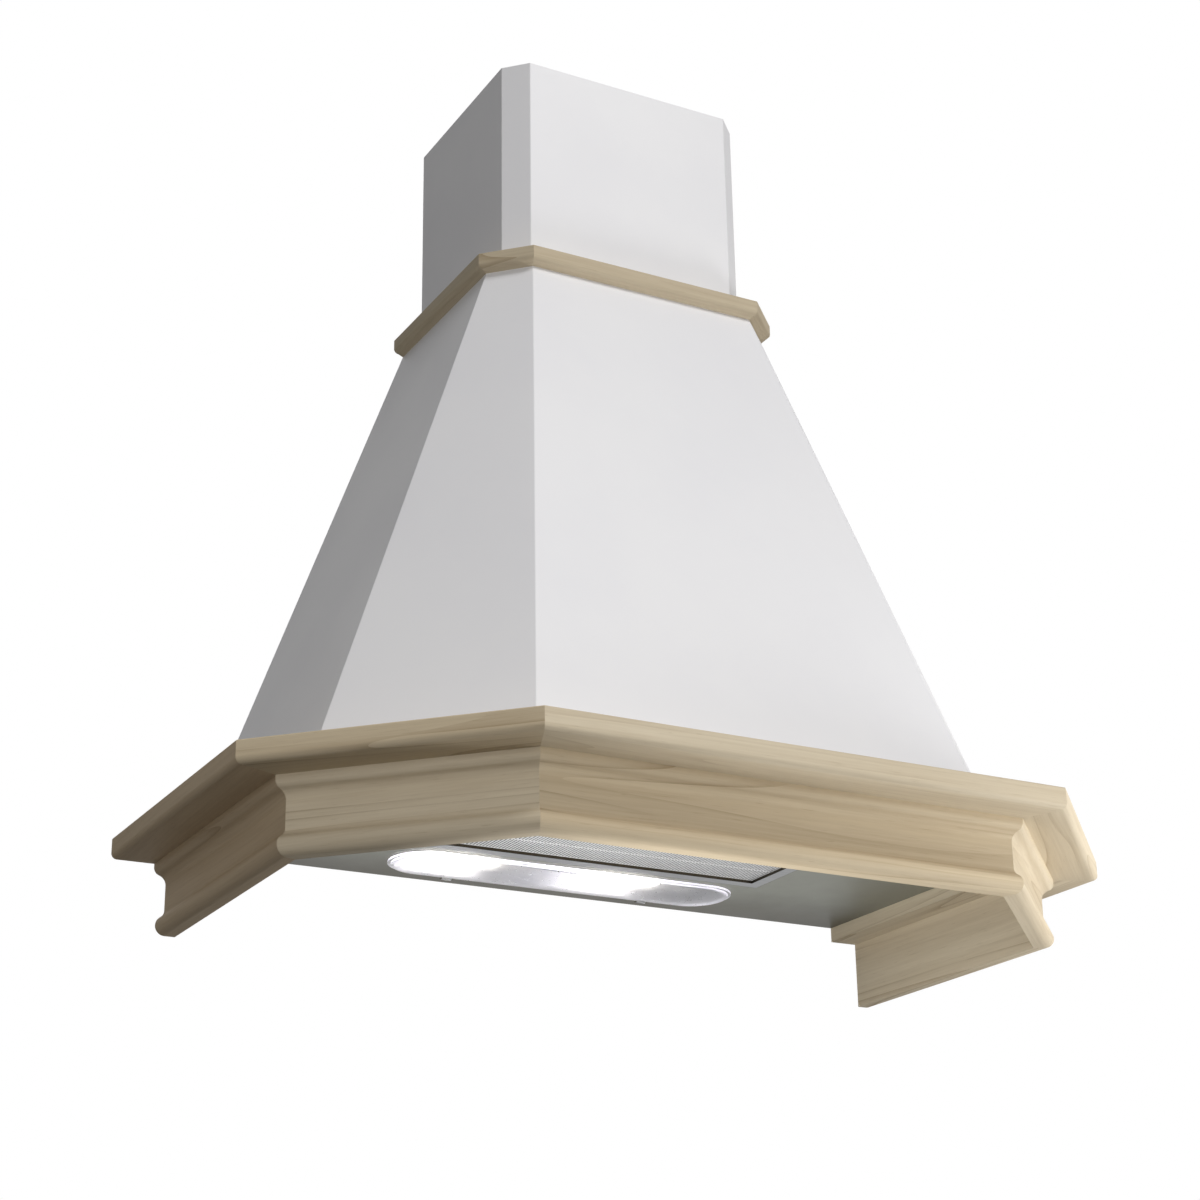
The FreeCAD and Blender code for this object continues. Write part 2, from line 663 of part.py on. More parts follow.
def chimney_bracket():
    """Wall bracket inside the top of the inner cover, stepped forward past its hems."""
    top = UPPER_CHIMNEY_TOP - BRACKET_DROP
    low = top - BRACKET_HEIGHT
    wall = CHIMNEY_WIDTH / 2 - 2 * SHEET - SLIDE_GAP
    ear = wall - REST_GAP
    plate = wall + SHEET - CHIMNEY_HEM - SLIDE_GAP
    step = -SHEET - SLIDE_GAP - SHEET - SLIDE_GAP
    back = step - BRACKET_SHEET
    shapes = [box(-plate, plate, -BRACKET_SHEET, 0, low, top)]
    for side in (-1, 1):
        shapes.append(box(side * (plate - BRACKET_SHEET), side * plate, back, 0, low, top))
        shapes.append(box(side * (plate - BRACKET_SHEET), side * ear, back, step, low, top))
        shapes.append(box(side * (ear - BRACKET_SHEET), side * ear, -BRACKET_REACH, step, low, top))
    middle = (low + top) / 2
    holes = [rod(V(side * BRACKET_SPACING / 2, -BRACKET_SHEET, middle), V(0, 1, 0),
                 BRACKET_HOLE_RADIUS, BRACKET_SHEET) for side in (-1, 1)]
    holes += [rod(p, V(side, 0, 0), SHEET_SCREW_RADIUS + SCREW_GAP, BRACKET_SHEET)
              for side, p in bracket_screw_places()]
    save("chimney_bracket", joined(shapes).cut(holes))


# ---------------------------------------------------------------- suction panel

def slot_span(offset, travel):
    """Ends of a slider's slot: the stem at rest stands at its left end."""
    left = CONTROL_X + offset - travel / 2 - STEM_LENGTH / 2 - SLOT_GAP
    return left, left + STEM_LENGTH + travel + 2 * SLOT_GAP


def slider_slots(z0, z1):
    slots = []
    for offset, travel in ((SPEED_SLOT_OFFSET, SPEED_TRAVEL), (LIGHT_SLOT_OFFSET, LIGHT_TRAVEL)):
        left, right = slot_span(offset, travel)
        half = STEM_WIDTH / 2 + SLOT_GAP
        slots.append(box(left, right, -CONTROL_Y - half, -CONTROL_Y + half, z0, z1))
    return slots


def panel():
    inset = BOARD_WIDTH + PANEL_GAP
    low = -PANEL_DROP
    seat = SHEET
    rear = -BACK_SHEET
    height = seat + PANEL_SHEET - low
    tray = prism(plan(FRAME, low, inset, rear), height)
    tray = tray.cut(prism(plan(FRAME, PANEL_TOP, inset + PANEL_SHEET, 0), height))
    flange = prism(plan(FRAME, seat, inset - PANEL_FLANGE, rear), PANEL_SHEET)
    flange = flange.cut(prism(plan(FRAME, seat, inset + PANEL_SHEET, 0), PANEL_SHEET))
    half = FRAME_WIDTH / 2 - inset
    upstand = box(-half, half, rear - PANEL_SHEET, rear, low, PANEL_UPSTAND)
    shape = joined([tray, flange, upstand])
    holes = [rod(p, V(0, 0, -1), WOOD_SCREW_RADIUS + SCREW_GAP, PANEL_SHEET)
             for p in frame_screw_places(seat + PANEL_SHEET)]
    half_filter = FILTER_WIDTH / 2 + FILTER_GAP
    holes.append(box(-half_filter, half_filter, FILTER_FRONT - FILTER_GAP, -FILTER_REAR + FILTER_GAP,
                     low, PANEL_TOP))
    holes.append(stadium(LENS_LENGTH - 2 * LENS_RIM, LENS_WIDTH - 2 * LENS_RIM, lens_centre(low),
                         PANEL_SHEET))
    half_length = CONTROL_LENGTH / 2 - CONTROL_INSET
    half_depth = CONTROL_DEPTH / 2 - CONTROL_INSET
    holes.append(box(CONTROL_X - half_length, CONTROL_X + half_length, -CONTROL_Y - half_depth,
                     -CONTROL_Y + half_depth, low, PANEL_TOP))
    save("bottom_panel", shape.cut(holes))


# ---------------------------------------------------------------- grease filter

def latch_slot(z0, z1):
    """Room for the finger pull and its travel in the filter's lower lip."""
    front = FILTER_FRONT + FILTER_SHEET + REST_GAP
    rear = front + PULL_DEPTH + LATCH_TRAVEL + 2 * REST_GAP
    half = PULL_WIDTH / 2 + REST_GAP
    return box(-half, half, front, rear, z0, z1)


def filter_frame():
    """Folded rim of channel section, with a closed rail at the front for the latch."""
    half = FILTER_WIDTH / 2
    rear = -FILTER_REAR
    sheet = FILTER_SHEET
    body = box(-half, half, FILTER_FRONT, rear, FILTER_BOTTOM, FILTER_TOP)
    hollow = box(sheet - half, half - sheet, FILTER_FRONT + sheet, rear - sheet,
                 FILTER_BOTTOM + sheet, FILTER_TOP - sheet)
    window = box(FILTER_RIM - half, half - FILTER_RIM, FILTER_FRONT + LATCH_RAIL, rear - FILTER_RIM,
                 FILTER_BOTTOM, FILTER_TOP)
    stop_y = FILTER_FRONT + LATCH_RAIL - sheet
    stop = box(sheet - half, half - sheet, stop_y, stop_y + sheet, FILTER_BOTTOM + sheet,
               FILTER_TOP - sheet)
    seat = box(FILTER_RIM - sheet - half, half + sheet - FILTER_RIM, stop_y,
               rear + sheet - FILTER_RIM, FILTER_BOTTOM + sheet, FILTER_BOTTOM + MESH_RECESS)
    shape = joined([body.cut([hollow, window]), seat.cut(window)])
    hooks = []
    for side in (-1, 1):
        x = side * HOOK_SPACING / 2
        hooks.append(box(x - HOOK_WIDTH / 2, x + HOOK_WIDTH / 2, rear - sheet, rear + HOOK_LENGTH,
                         PANEL_TOP + REST_GAP, PANEL_TOP + REST_GAP + sheet))
    shape = joined([shape, stop] + hooks)
    half_tongue = TONGUE_WIDTH / 2 + REST_GAP
    mouth = box(-half_tongue, half_tongue, FILTER_FRONT, FILTER_FRONT + sheet, PANEL_TOP,
                PANEL_TOP + LATCH_THICKNESS + 2 * REST_GAP)
    shape = shape.cut([mouth, latch_slot(FILTER_BOTTOM, FILTER_BOTTOM + sheet)])
    save("filter_frame", shape)


def filter_mesh():
    """Perforated lower sheet and the metal wool core that rests on it."""
    sheet = FILTER_SHEET
    half = FILTER_WIDTH / 2 - sheet - CORE_GAP
    rear = -FILTER_REAR - sheet - CORE_GAP
    front = FILTER_FRONT + LATCH_RAIL + CORE_GAP
    low = FILTER_BOTTOM + MESH_RECESS
    mesh = box(-half, half, front, rear, low, low + MESH_SHEET)
    window_half = FILTER_WIDTH / 2 - FILTER_RIM
    window_rear = -FILTER_REAR - FILTER_RIM
    pitch_x = (2 * window_half - MESH_BAR) / MESH_COLUMNS
    pitch_y = (window_rear - front - 2 * MESH_BAR) / MESH_ROWS
    holes = []
    for column in range(MESH_COLUMNS):
        x = MESH_BAR - window_half + column * pitch_x
        for row in range(MESH_ROWS):
            y = front + 2 * MESH_BAR + row * pitch_y
            holes.append(box(x, x + pitch_x - MESH_BAR, y, y + pitch_y - MESH_BAR, low,
                             low + MESH_SHEET))
    save("filter_mesh", mesh.cut(holes))
    core_low = low + MESH_SHEET
    save("filter_core", box(-half, half, front, rear, core_low, FILTER_TOP - sheet - CORE_GAP))


def filter_latch():
    """Sliding latch: its tongue lies on the panel's edge and its pull hangs through the filter's lip."""
    low = PANEL_TOP + REST_GAP
    front = FILTER_FRONT + FILTER_SHEET + REST_GAP
    plate = box(-LATCH_WIDTH / 2, LATCH_WIDTH / 2, front, front + LATCH_DEPTH, low,
                low + LATCH_THICKNESS)
    tongue = box(-TONGUE_WIDTH / 2, TONGUE_WIDTH / 2, FILTER_FRONT - LATCH_REACH, front, low,
                 low + LATCH_THICKNESS)
    nose = [edge for edge in tongue.Edges
            if abs(edge.CenterOfMass.y - tongue.BoundBox.YMin) < 0.01
            and edge.CenterOfMass.z > tongue.BoundBox.ZMax - 0.01]
    tongue = tongue.makeChamfer(LATCH_THICKNESS * 0.4, nose)
    pull_front = front + REST_GAP
    pull = box(-PULL_WIDTH / 2, PULL_WIDTH / 2, pull_front, pull_front + PULL_DEPTH,
               FILTER_BOTTOM - PULL_DROP, low)
    lower = [edge for edge in pull.Edges if abs(edge.CenterOfMass.z - pull.BoundBox.ZMin) < 0.01]
    pull = pull.makeFillet(PULL_DEPTH * 0.3, lower)
    save("filter_latch", joined([plate, tongue, pull]))


def latch_spring():
    """Bowed leaf between the latch and the stop behind it."""
    front = FILTER_FRONT + FILTER_SHEET + 2 * REST_GAP + LATCH_DEPTH
    rear = FILTER_FRONT + LATCH_RAIL - FILTER_SHEET - REST_GAP
    half = LATCH_WIDTH * 0.42
    low = PANEL_TOP + REST_GAP
    sheet = SPRING_SHEET
    inner = Part.Arc(V(-half, rear - sheet, low), V(0, front, low), V(half, rear - sheet, low)).toShape()
    outer = Part.Arc(V(half, rear, low), V(0, front + sheet, low), V(-half, rear, low)).toShape()
    ends = [Part.makeLine(V(half, rear - sheet, low), V(half, rear, low)),
            Part.makeLine(V(-half, rear, low), V(-half, rear - sheet, low))]
    leaf = Part.Face(Part.Wire([inner, ends[0], outer, ends[1]]))
    save("latch_spring", leaf.extrude(V(0, 0, LATCH_THICKNESS)))


# ---------------------------------------------------------------- lamps

LENS_TOP = -PANEL_DROP - REST_GAP
LENS_HINGE_Y = -LENS_CENTRE + LENS_WIDTH / 2 + KNUCKLE_RADIUS
LENS_HINGE_Z = LENS_TOP - KNUCKLE_RADIUS


def lens_centre(z):
    return V(LENS_OFFSET, -LENS_CENTRE, z)


def lens():
    """Clear cover: a flat rim, a raised middle, and two knuckles on its rear edge."""
    seat = lens_centre(LENS_TOP - LENS_SHEET)
    inner_length = LENS_LENGTH - 2 * LENS_RIM
    inner_width = LENS_WIDTH - 2 * LENS_RIM
    rim = stadium(LENS_LENGTH, LENS_WIDTH, seat, LENS_SHEET)
    well = stadium(inner_length, inner_width, seat, LENS_SHEET)
    low = seat.z - LENS_BULGE
    pan = stadium(LENS_LENGTH - LENS_RIM, LENS_WIDTH - LENS_RIM, lens_centre(low),
                  LENS_BULGE + LENS_SHEET * 0.5)
    outer_edges = [edge for edge in pan.Edges if abs(edge.BoundBox.ZMax - low) < 0.01]
    pan = pan.makeFillet(LENS_BULGE * 0.8, outer_edges)
    hollow = stadium(inner_length, inner_width, lens_centre(low + LENS_SHEET), LENS_BULGE + LENS_SHEET)
    shape = joined([rim.cut(well), pan]).cut(hollow)
    knuckles, bores = [], []
    for side in (-1, 1):
        middle = LENS_OFFSET + side * LENS_HINGE_SPACING / 2
        start = V(middle - KNUCKLE_LENGTH / 2, LENS_HINGE_Y, LENS_HINGE_Z)
        barrel = rod(start, V(1, 0, 0), KNUCKLE_RADIUS, KNUCKLE_LENGTH)
        web = box(start.x, start.x + KNUCKLE_LENGTH, LENS_HINGE_Y - KNUCKLE_RADIUS - LENS_SHEET,
                  LENS_HINGE_Y, LENS_TOP - LENS_SHEET, LENS_TOP)
        knuckles.append(barrel.fuse(web.common(box(-FRAME_WIDTH, FRAME_WIDTH, -FRAME_DEPTH, LENS_HINGE_Y,
                                                   LENS_HINGE_Z - KNUCKLE_RADIUS, LENS_TOP))))
        bores.append(rod(start, V(1, 0, 0), LENS_PIN_RADIUS + SHAFT_GAP, KNUCKLE_LENGTH))
    save("lamp_cover", joined([shape] + knuckles).cut(bores))


def lens_hinges():
    """Two clips under the panel, each holding a pin through one knuckle."""
    clips = []
    for side in (-1, 1):
        middle = LENS_OFFSET + side * LENS_HINGE_SPACING / 2
        half = KNUCKLE_LENGTH / 2 + REST_GAP
        shapes = [rod(V(middle - half - FILTER_SHEET, LENS_HINGE_Y, LENS_HINGE_Z), V(1, 0, 0),
                      LENS_PIN_RADIUS, 2 * (half + FILTER_SHEET))]
        for end in (-1, 1):
            x = middle + end * half
            ear = box(x, x + end * FILTER_SHEET, LENS_HINGE_Y, LENS_HINGE_Y + KNUCKLE_RADIUS,
                      LENS_HINGE_Z, -PANEL_DROP)
            shapes.append(rod(V(x, LENS_HINGE_Y, LENS_HINGE_Z), V(end, 0, 0), KNUCKLE_RADIUS * 0.8,
                              FILTER_SHEET))
            foot = box(x, x + end * HINGE_FOOT, LENS_HINGE_Y + KNUCKLE_RADIUS * 0.2,
                       LENS_HINGE_Y + HINGE_FOOT, -PANEL_DROP - FILTER_SHEET, -PANEL_DROP)
            shapes += [ear, foot]
        clips.append(joined(shapes))
    save("cover_hinges", group(clips))


def lamp_tray():
    """Reflector box on the panel, open downwards."""
    top = PANEL_TOP + TRAY_HEIGHT

    def block(grow, height):
        half = LENS_LENGTH / 2 - LENS_RIM + grow
        depth = LENS_WIDTH / 2 - LENS_RIM + grow
        return box(LENS_OFFSET - half, LENS_OFFSET + half, -LENS_CENTRE - depth, -LENS_CENTRE + depth,
                   PANEL_TOP, height)

    shape = joined([block(TRAY_FOOT, PANEL_TOP + TRAY_SHEET), block(TRAY_SHEET, top)])
    save("lamp_tray", shape.cut(block(0, top - TRAY_SHEET)))


def lamps():
    """Two candle bulbs that point to the left, each in a holder hung from the tray's roof."""
    inwards = V(-1, 0, 0)
    roof = PANEL_TOP + TRAY_HEIGHT - TRAY_SHEET
    for side, name in ((-1, "left"), (1, "right")):
        mouth_x = LENS_OFFSET + LAMP_OFFSET + side * LAMP_PITCH / 2 + BULB_LENGTH / 2
        mouth = V(mouth_x, -LENS_CENTRE, PANEL_TOP + LAMP_HEIGHT)
        start = mouth - inwards * HOLDER_LENGTH
        holder = rod(start, inwards, HOLDER_RADIUS, HOLDER_LENGTH)
        waist = tube(start + inwards * (HOLDER_LENGTH * 0.4), inwards, HOLDER_RADIUS + 1,
                     HOLDER_RADIUS * 0.9, HOLDER_LENGTH * 0.1)
        foot = box(start.x - HOLDER_FOOT, start.x, -LENS_CENTRE - HOLDER_FOOT / 2,
                   -LENS_CENTRE + HOLDER_FOOT / 2, mouth.z, roof)
        socket = rod(mouth, -inwards, BULB_CAP_RADIUS + REST_GAP, BULB_CAP_LENGTH)
        save("lampholder_" + name, joined([holder.cut(waist), foot]).cut(socket))
        save("bulb_" + name, bulb(mouth - inwards * BULB_CAP_LENGTH, inwards))


def bulb(start, direction):
    """Candle bulb turned about its axis: screw cap and glass."""
    profile = [V(BULB_RADIUS * radius, 0, BULB_CAP_LENGTH + BULB_LENGTH * height)
               for height, radius in BULB_OUTLINE]
    glass = Part.BSplineCurve()
    glass.interpolate(profile)
    neck = profile[0]
    end = profile[-1]
    shoulder = V(BULB_CAP_RADIUS, 0, BULB_CAP_LENGTH)
    edges = [Part.makeLine(V(0, 0, 0), V(BULB_CAP_RADIUS, 0, 0)),
             Part.makeLine(V(BULB_CAP_RADIUS, 0, 0), shoulder),
             Part.makeLine(shoulder, neck),
             glass.toShape(),
             Part.makeLine(end, V(0, 0, 0))]
    solid = Part.Face(Part.Wire(edges)).revolve(V(0, 0, 0), V(0, 0, 1), 360)
    solid.Placement = FreeCAD.Placement(start, FreeCAD.Rotation(V(0, 0, 1), direction))
    return solid


# ---------------------------------------------------------------- controls

def controls():
    """Control plate under the panel, switch housing above it, and two captive sliders."""
    half_length = CONTROL_LENGTH / 2
    half_depth = CONTROL_DEPTH / 2
    low = -PANEL_DROP - CONTROL_SHEET
    plate = box(CONTROL_X - half_length, CONTROL_X + half_length, -CONTROL_Y - half_depth,
                -CONTROL_Y + half_depth, low, -PANEL_DROP)
    rim = [edge for edge in plate.Edges if abs(edge.CenterOfMass.z - low) < 0.01]
    plate = plate.makeChamfer(CONTROL_SHEET * 0.4, rim)
    save("control_plate", plate.cut(slider_slots(low, -PANEL_DROP)))
    half_length -= CONTROL_INSET + SLOT_GAP
    half_depth -= CONTROL_INSET + SLOT_GAP
    base = -PANEL_DROP
    top = base + SWITCH_HEIGHT
    wall = SWITCH_WALL
    outer = box(CONTROL_X - half_length, CONTROL_X + half_length, -CONTROL_Y - half_depth,
                -CONTROL_Y + half_depth, base, top)
    inner = box(CONTROL_X - half_length + wall, CONTROL_X + half_length - wall,
                -CONTROL_Y - half_depth + wall, -CONTROL_Y + half_depth - wall, base + wall, top - wall)
    save("switch_housing", outer.cut([inner] + slider_slots(base, base + wall)))
    head_z = base + wall + REST_GAP
    for name, offset, travel in (("speed_slider", SPEED_SLOT_OFFSET, SPEED_TRAVEL),
                                 ("light_slider", LIGHT_SLOT_OFFSET, LIGHT_TRAVEL)):
        x = CONTROL_X + offset - travel / 2
        knob_top = low - REST_GAP
        knob = box(x - KNOB_LENGTH / 2, x + KNOB_LENGTH / 2, -CONTROL_Y - KNOB_WIDTH / 2,
                   -CONTROL_Y + KNOB_WIDTH / 2, knob_top - KNOB_HEIGHT, knob_top)
        rim = [edge for edge in knob.Edges if abs(edge.CenterOfMass.z - knob_top + KNOB_HEIGHT) < 0.01]
        knob = knob.makeFillet(KNOB_HEIGHT * 0.25, rim)
        stem = box(x - STEM_LENGTH / 2, x + STEM_LENGTH / 2, -CONTROL_Y - STEM_WIDTH / 2,
                   -CONTROL_Y + STEM_WIDTH / 2, knob_top, head_z + STEM_HEAD_THICKNESS)
        head = box(x - STEM_LENGTH / 2, x + STEM_LENGTH / 2, -CONTROL_Y - STEM_HEAD / 2,
                   -CONTROL_Y + STEM_HEAD / 2, head_z, head_z + STEM_HEAD_THICKNESS)
        save(name, joined([knob, stem, head]))


# ---------------------------------------------------------------- blower housing

def scroll_face(wall, y):
    """Outline of the scroll and its outlet, grown outwards by a wall: three quarter arcs and lines."""
    step = SCROLL_STEP
    base = SCROLL_RADIUS + wall
    centres = [(step / 2, -step / 2), (-step / 2, -step / 2), (-step / 2, step / 2)]
    radii = [base, base + step, base + 2 * step]
    outlet_right = step / 2 + wall
    join_z = -step / 2 + math.sqrt(base ** 2 - wall ** 2)
    outlet_top = OUTLET_Z - IMPELLER_Z
    right = (centres[0][0] + radii[0], centres[0][1])
    bottom = (centres[1][0], centres[1][1] - radii[1])
    left = (centres[2][0] - radii[2], centres[2][1])
    shape = section((outlet_right, outlet_top), [
        [(outlet_right, join_z)],
        quarter((outlet_right, join_z), right, centres[0]),
        quarter(right, bottom, centres[1]),
        quarter(bottom, left, centres[2]),
        [(left[0], outlet_top)],
        [(outlet_right, outlet_top)],
    ])
    shape.translate(V(IMPELLER_X, y, IMPELLER_Z))
    return shape


def scroll_solid(wall, front, rear):
    return scroll_face(wall, front).extrude(V(0, rear - front, 0))


def scroll_lug_places():
    """Bolt points on the joint flange, spread round the scroll."""
    middle = SCROLL_WALL + SCROLL_FLANGE / 2
    points = []
    for angle, turn in ((40, 0), (5, 0), (-50, 1), (-130, 2), (-175, 2)):
        step = SCROLL_STEP
        centre = [(step / 2, -step / 2), (-step / 2, -step / 2), (-step / 2, step / 2)][turn]
        radius = SCROLL_RADIUS + turn * step + middle
        points.append((IMPELLER_X + centre[0] + radius * math.cos(math.radians(angle)),
                       IMPELLER_Z + centre[1] + radius * math.sin(math.radians(angle))))
    return points


def spigot_plate_half():
    return (SCROLL_LEFT + SCROLL_TONGUE) / 2 + SCROLL_WALL + SPIGOT_MARGIN


def blower_housing():
    """Two half shells that meet on a bolted flange in the middle of the scroll."""
    wall = SCROLL_WALL
    flange = GRILLE_SHEET
    lugs = scroll_lug_places()
    for name, front, rear, joint in (("front", SCROLL_FRONT, DUCT_Y, -flange),
                                     ("rear", DUCT_Y, SCROLL_REAR, flange)):
        outer = scroll_solid(wall, front, rear)
        rib = scroll_solid(wall + SCROLL_FLANGE, min(DUCT_Y, DUCT_Y + joint), max(DUCT_Y, DUCT_Y + joint))
        rim_half = spigot_plate_half()
        rim = box(-rim_half, rim_half, front, rear, OUTLET_Z - flange, OUTLET_Z)
        rib = rib.common(box(-FRAME_WIDTH, FRAME_WIDTH, front, rear, 0, OUTLET_Z - flange))
        if name == "front":
            inner = scroll_solid(0, front + wall, rear)
        else:
            inner = scroll_solid(0, front, rear - wall)
        shape = joined([outer, rib, rim]).cut(inner)
        centre = V(IMPELLER_X, front, IMPELLER_Z)
        if name == "front":
            lip = rod(centre, V(0, 1, 0), INLET_RADIUS + wall, INLET_LIP)
            shape = joined([shape, lip]).cut(rod(centre, V(0, 1, 0), INLET_RADIUS, INLET_LIP))
            shape = shape.cut([rod(V(p.x, front, p.z), V(0, 1, 0), SHEET_SCREW_RADIUS, wall)
                               for p in grille_screw_places()])
        else:
            shape = shape.cut([rod(V(p.x, rear - wall, p.z), V(0, 1, 0), SHEET_SCREW_RADIUS, wall)
                               for p in hanger_screw_places()])
        bolt = SHEET_SCREW_RADIUS + SCREW_GAP
        shape = shape.cut([rod(V(x, DUCT_Y - flange, z), V(0, 1, 0), bolt, 2 * flange)
                           for x, z in lugs])
        save("blower_housing_" + name, shape)


def grille_screw_places():
    """Seats of the screws on the front face of the grille's rim."""
    radius = INLET_RADIUS + GRILLE_RIM / 2
    points = []
    for k in range(3):
        angle = math.radians(90 + k * 120)
        points.append(V(IMPELLER_X + radius * math.cos(angle), SCROLL_FRONT - GRILLE_SHEET,
                        IMPELLER_Z + radius * math.sin(angle)))
    return points


def hanger_heights():
    return [IMPELLER_Z - HANGER_SPACING / 2, IMPELLER_Z + HANGER_SPACING / 2]


def hanger_screw_places():
    """Seats of the screws on the inner face of the hanger channels."""
    y = SCROLL_REAR + BACK_SHEET
    half = HANGER_SCREW_SPACING / 2
    return [V(IMPELLER_X + side * half, y, z) for z in hanger_heights() for side in (-1, 1)]


def blower_hangers():
    """Two channels welded to the back plate, which carry the blower."""
    half_length = HANGER_LENGTH / 2
    half_height = HANGER_HEIGHT / 2
    foot_reach = half_height + HANGER_FOOT
    sheet = BACK_SHEET
    channels = []
    for z in hanger_heights():
        x0, x1 = IMPELLER_X - half_length, IMPELLER_X + half_length
        outer = box(x0, x1, SCROLL_REAR, -BACK_SHEET, z - half_height, z + half_height)
        inner = box(x0, x1, SCROLL_REAR + sheet, -BACK_SHEET, z - half_height + sheet,
                    z + half_height - sheet)
        feet = box(x0, x1, -BACK_SHEET - sheet, -BACK_SHEET, z - foot_reach, z + foot_reach)
        channels.append(joined([outer, feet]).cut(inner))
    holes = [rod(p - V(0, sheet, 0), V(0, 1, 0), SHEET_SCREW_RADIUS + SCREW_GAP, sheet)
             for p in hanger_screw_places()]
    save("blower_hangers", group([channel.cut(holes) for channel in channels]))


def blower_screws():
    shapes = [screw(p, V(0, 1, 0), SHEET_SCREW_RADIUS, GRILLE_SHEET + SCROLL_WALL)
              for p in grille_screw_places()]
    shapes += [screw(p, V(0, -1, 0), SHEET_SCREW_RADIUS, BACK_SHEET + SCROLL_WALL)
               for p in hanger_screw_places()]
    shapes += [screw(V(x, DUCT_Y - GRILLE_SHEET, z), V(0, 1, 0), SHEET_SCREW_RADIUS, 2 * GRILLE_SHEET)
               for x, z in scroll_lug_places()]
    save("blower_screws", group(shapes))


def inlet_grille():
    """Moulded grille over the inlet, whose arms hold the motor's socket."""
    outer = INLET_RADIUS + GRILLE_RIM
    front = SCROLL_FRONT - GRILLE_SHEET
    centre = V(IMPELLER_X, front, IMPELLER_Z)
    ahead = V(0, 1, 0)
    socket_inner = MOTOR_RADIUS + GRILLE_GAP
    socket_outer = socket_inner + GRILLE_SOCKET
    shapes = [tube(centre, ahead, outer, INLET_RADIUS, GRILLE_SHEET),
              tube(centre - ahead * (GRILLE_SOCKET_LENGTH - GRILLE_SHEET), ahead, socket_outer,
                   socket_inner, GRILLE_SOCKET_LENGTH)]
    for share in (0.35, 0.7):
        radius = socket_outer + (INLET_RADIUS - socket_outer) * share
        shapes.append(tube(centre, ahead, radius + GRILLE_RING / 2, radius - GRILLE_RING / 2,
                           GRILLE_SHEET))
    arm = box(socket_inner + GRILLE_SOCKET / 2, INLET_RADIUS + GRILLE_RIM / 2, 0, GRILLE_SHEET,
              -GRILLE_ARM_WIDTH / 2, GRILLE_ARM_WIDTH / 2)
    for k in range(GRILLE_ARMS):
        turned = arm.rotated(V(0, 0, 0), V(0, 1, 0), 30 + k * 360 / GRILLE_ARMS)
        shapes.append(turned.translated(centre))
    holes = [rod(p, ahead, SHEET_SCREW_RADIUS + SCREW_GAP, GRILLE_SHEET) for p in grille_screw_places()]
    save("inlet_grille", joined(shapes).cut(holes))


# ---------------------------------------------------------------- motor and impeller

def motor():
    """Motor can with two stepped end bells and a bore for its shaft."""
    centre = V(IMPELLER_X, MOTOR_Y, IMPELLER_Z)
    ahead = V(0, 1, 0)
    bell = MOTOR_RADIUS - MOTOR_BELL_STEP
    can = rod(centre + ahead * (MOTOR_BELL / 2), ahead, MOTOR_RADIUS, MOTOR_LENGTH - 1.5 * MOTOR_BELL)
    core = rod(centre, ahead, bell, MOTOR_LENGTH)
    nose = rod(centre + ahead * (MOTOR_LENGTH - MOTOR_BELL), ahead, bell * 0.5,
               MOTOR_BELL + MOTOR_BELL_STEP)
    bore_start = centre + ahead * MOTOR_BELL_STEP
    bore = rod(bore_start, ahead, SHAFT_RADIUS + SHAFT_GAP, MOTOR_LENGTH + MOTOR_BELL)
    save("motor", joined([can, core, nose]).cut(bore))


def impeller():
    """Squirrel-cage wheel: rear disc, hub, curved blades and front shroud."""
    centre = V(IMPELLER_X, DISC_Y, IMPELLER_Z)
    ahead = V(0, -1, 0)
    disc = rod(centre, ahead, IMPELLER_RADIUS, DISC_SHEET)
    hub = rod(centre, ahead, HUB_RADIUS, HUB_LENGTH)
    shroud_start = centre + ahead * (DISC_SHEET + BLADE_LENGTH)
    shroud = tube(shroud_start, ahead, IMPELLER_RADIUS, BLADE_FOOT, SHROUD_LENGTH)
    tip = math.radians(9)
    foot_point = (BLADE_FOOT + 0.4, 0)
    tip_point = ((IMPELLER_RADIUS - 0.4) * math.cos(tip), (IMPELLER_RADIUS - 0.4) * math.sin(tip))
    middle = ((foot_point[0] + tip_point[0]) / 2 + 1.6, (foot_point[1] + tip_point[1]) / 2 - 2.4)
    sheet = BLADE_SHEET
    blade_face = section(foot_point, [
        [middle, tip_point],
        [(tip_point[0] - sheet, tip_point[1] + sheet * 0.4)],
        [(middle[0] - sheet * 0.7, middle[1] + sheet * 0.7), (foot_point[0], foot_point[1] + sheet)],
        [foot_point],
    ])
    blade = blade_face.extrude(V(0, -BLADE_LENGTH - 1, 0))
    shapes = [disc, hub, shroud]
    for k in range(BLADE_COUNT):
        turned = blade.rotated(V(0, 0, 0), V(0, 1, 0), k * 360 / BLADE_COUNT)
        shapes.append(turned.translated(centre + ahead * (DISC_SHEET - 0.5)))
    wheel = joined(shapes).cut(rod(centre, ahead, SHAFT_RADIUS + SHAFT_GAP, HUB_LENGTH))
    save("impeller", wheel)
    nut = hexagon(centre, V(0, 1, 0), NUT_ACROSS_FLATS, NUT_LENGTH)
    save("impeller_nut", nut.cut(rod(centre, V(0, 1, 0), SHAFT_RADIUS + SHAFT_GAP, NUT_LENGTH)))
    shaft_end = DISC_Y + NUT_LENGTH + MOTOR_BELL_STEP / 2
    shaft_start = MOTOR_Y + MOTOR_BELL_STEP + REST_GAP
    save("motor_shaft", rod(V(IMPELLER_X, shaft_start, IMPELLER_Z), V(0, 1, 0), SHAFT_RADIUS,
                            shaft_end - shaft_start))


# ---------------------------------------------------------------- outlet and flaps

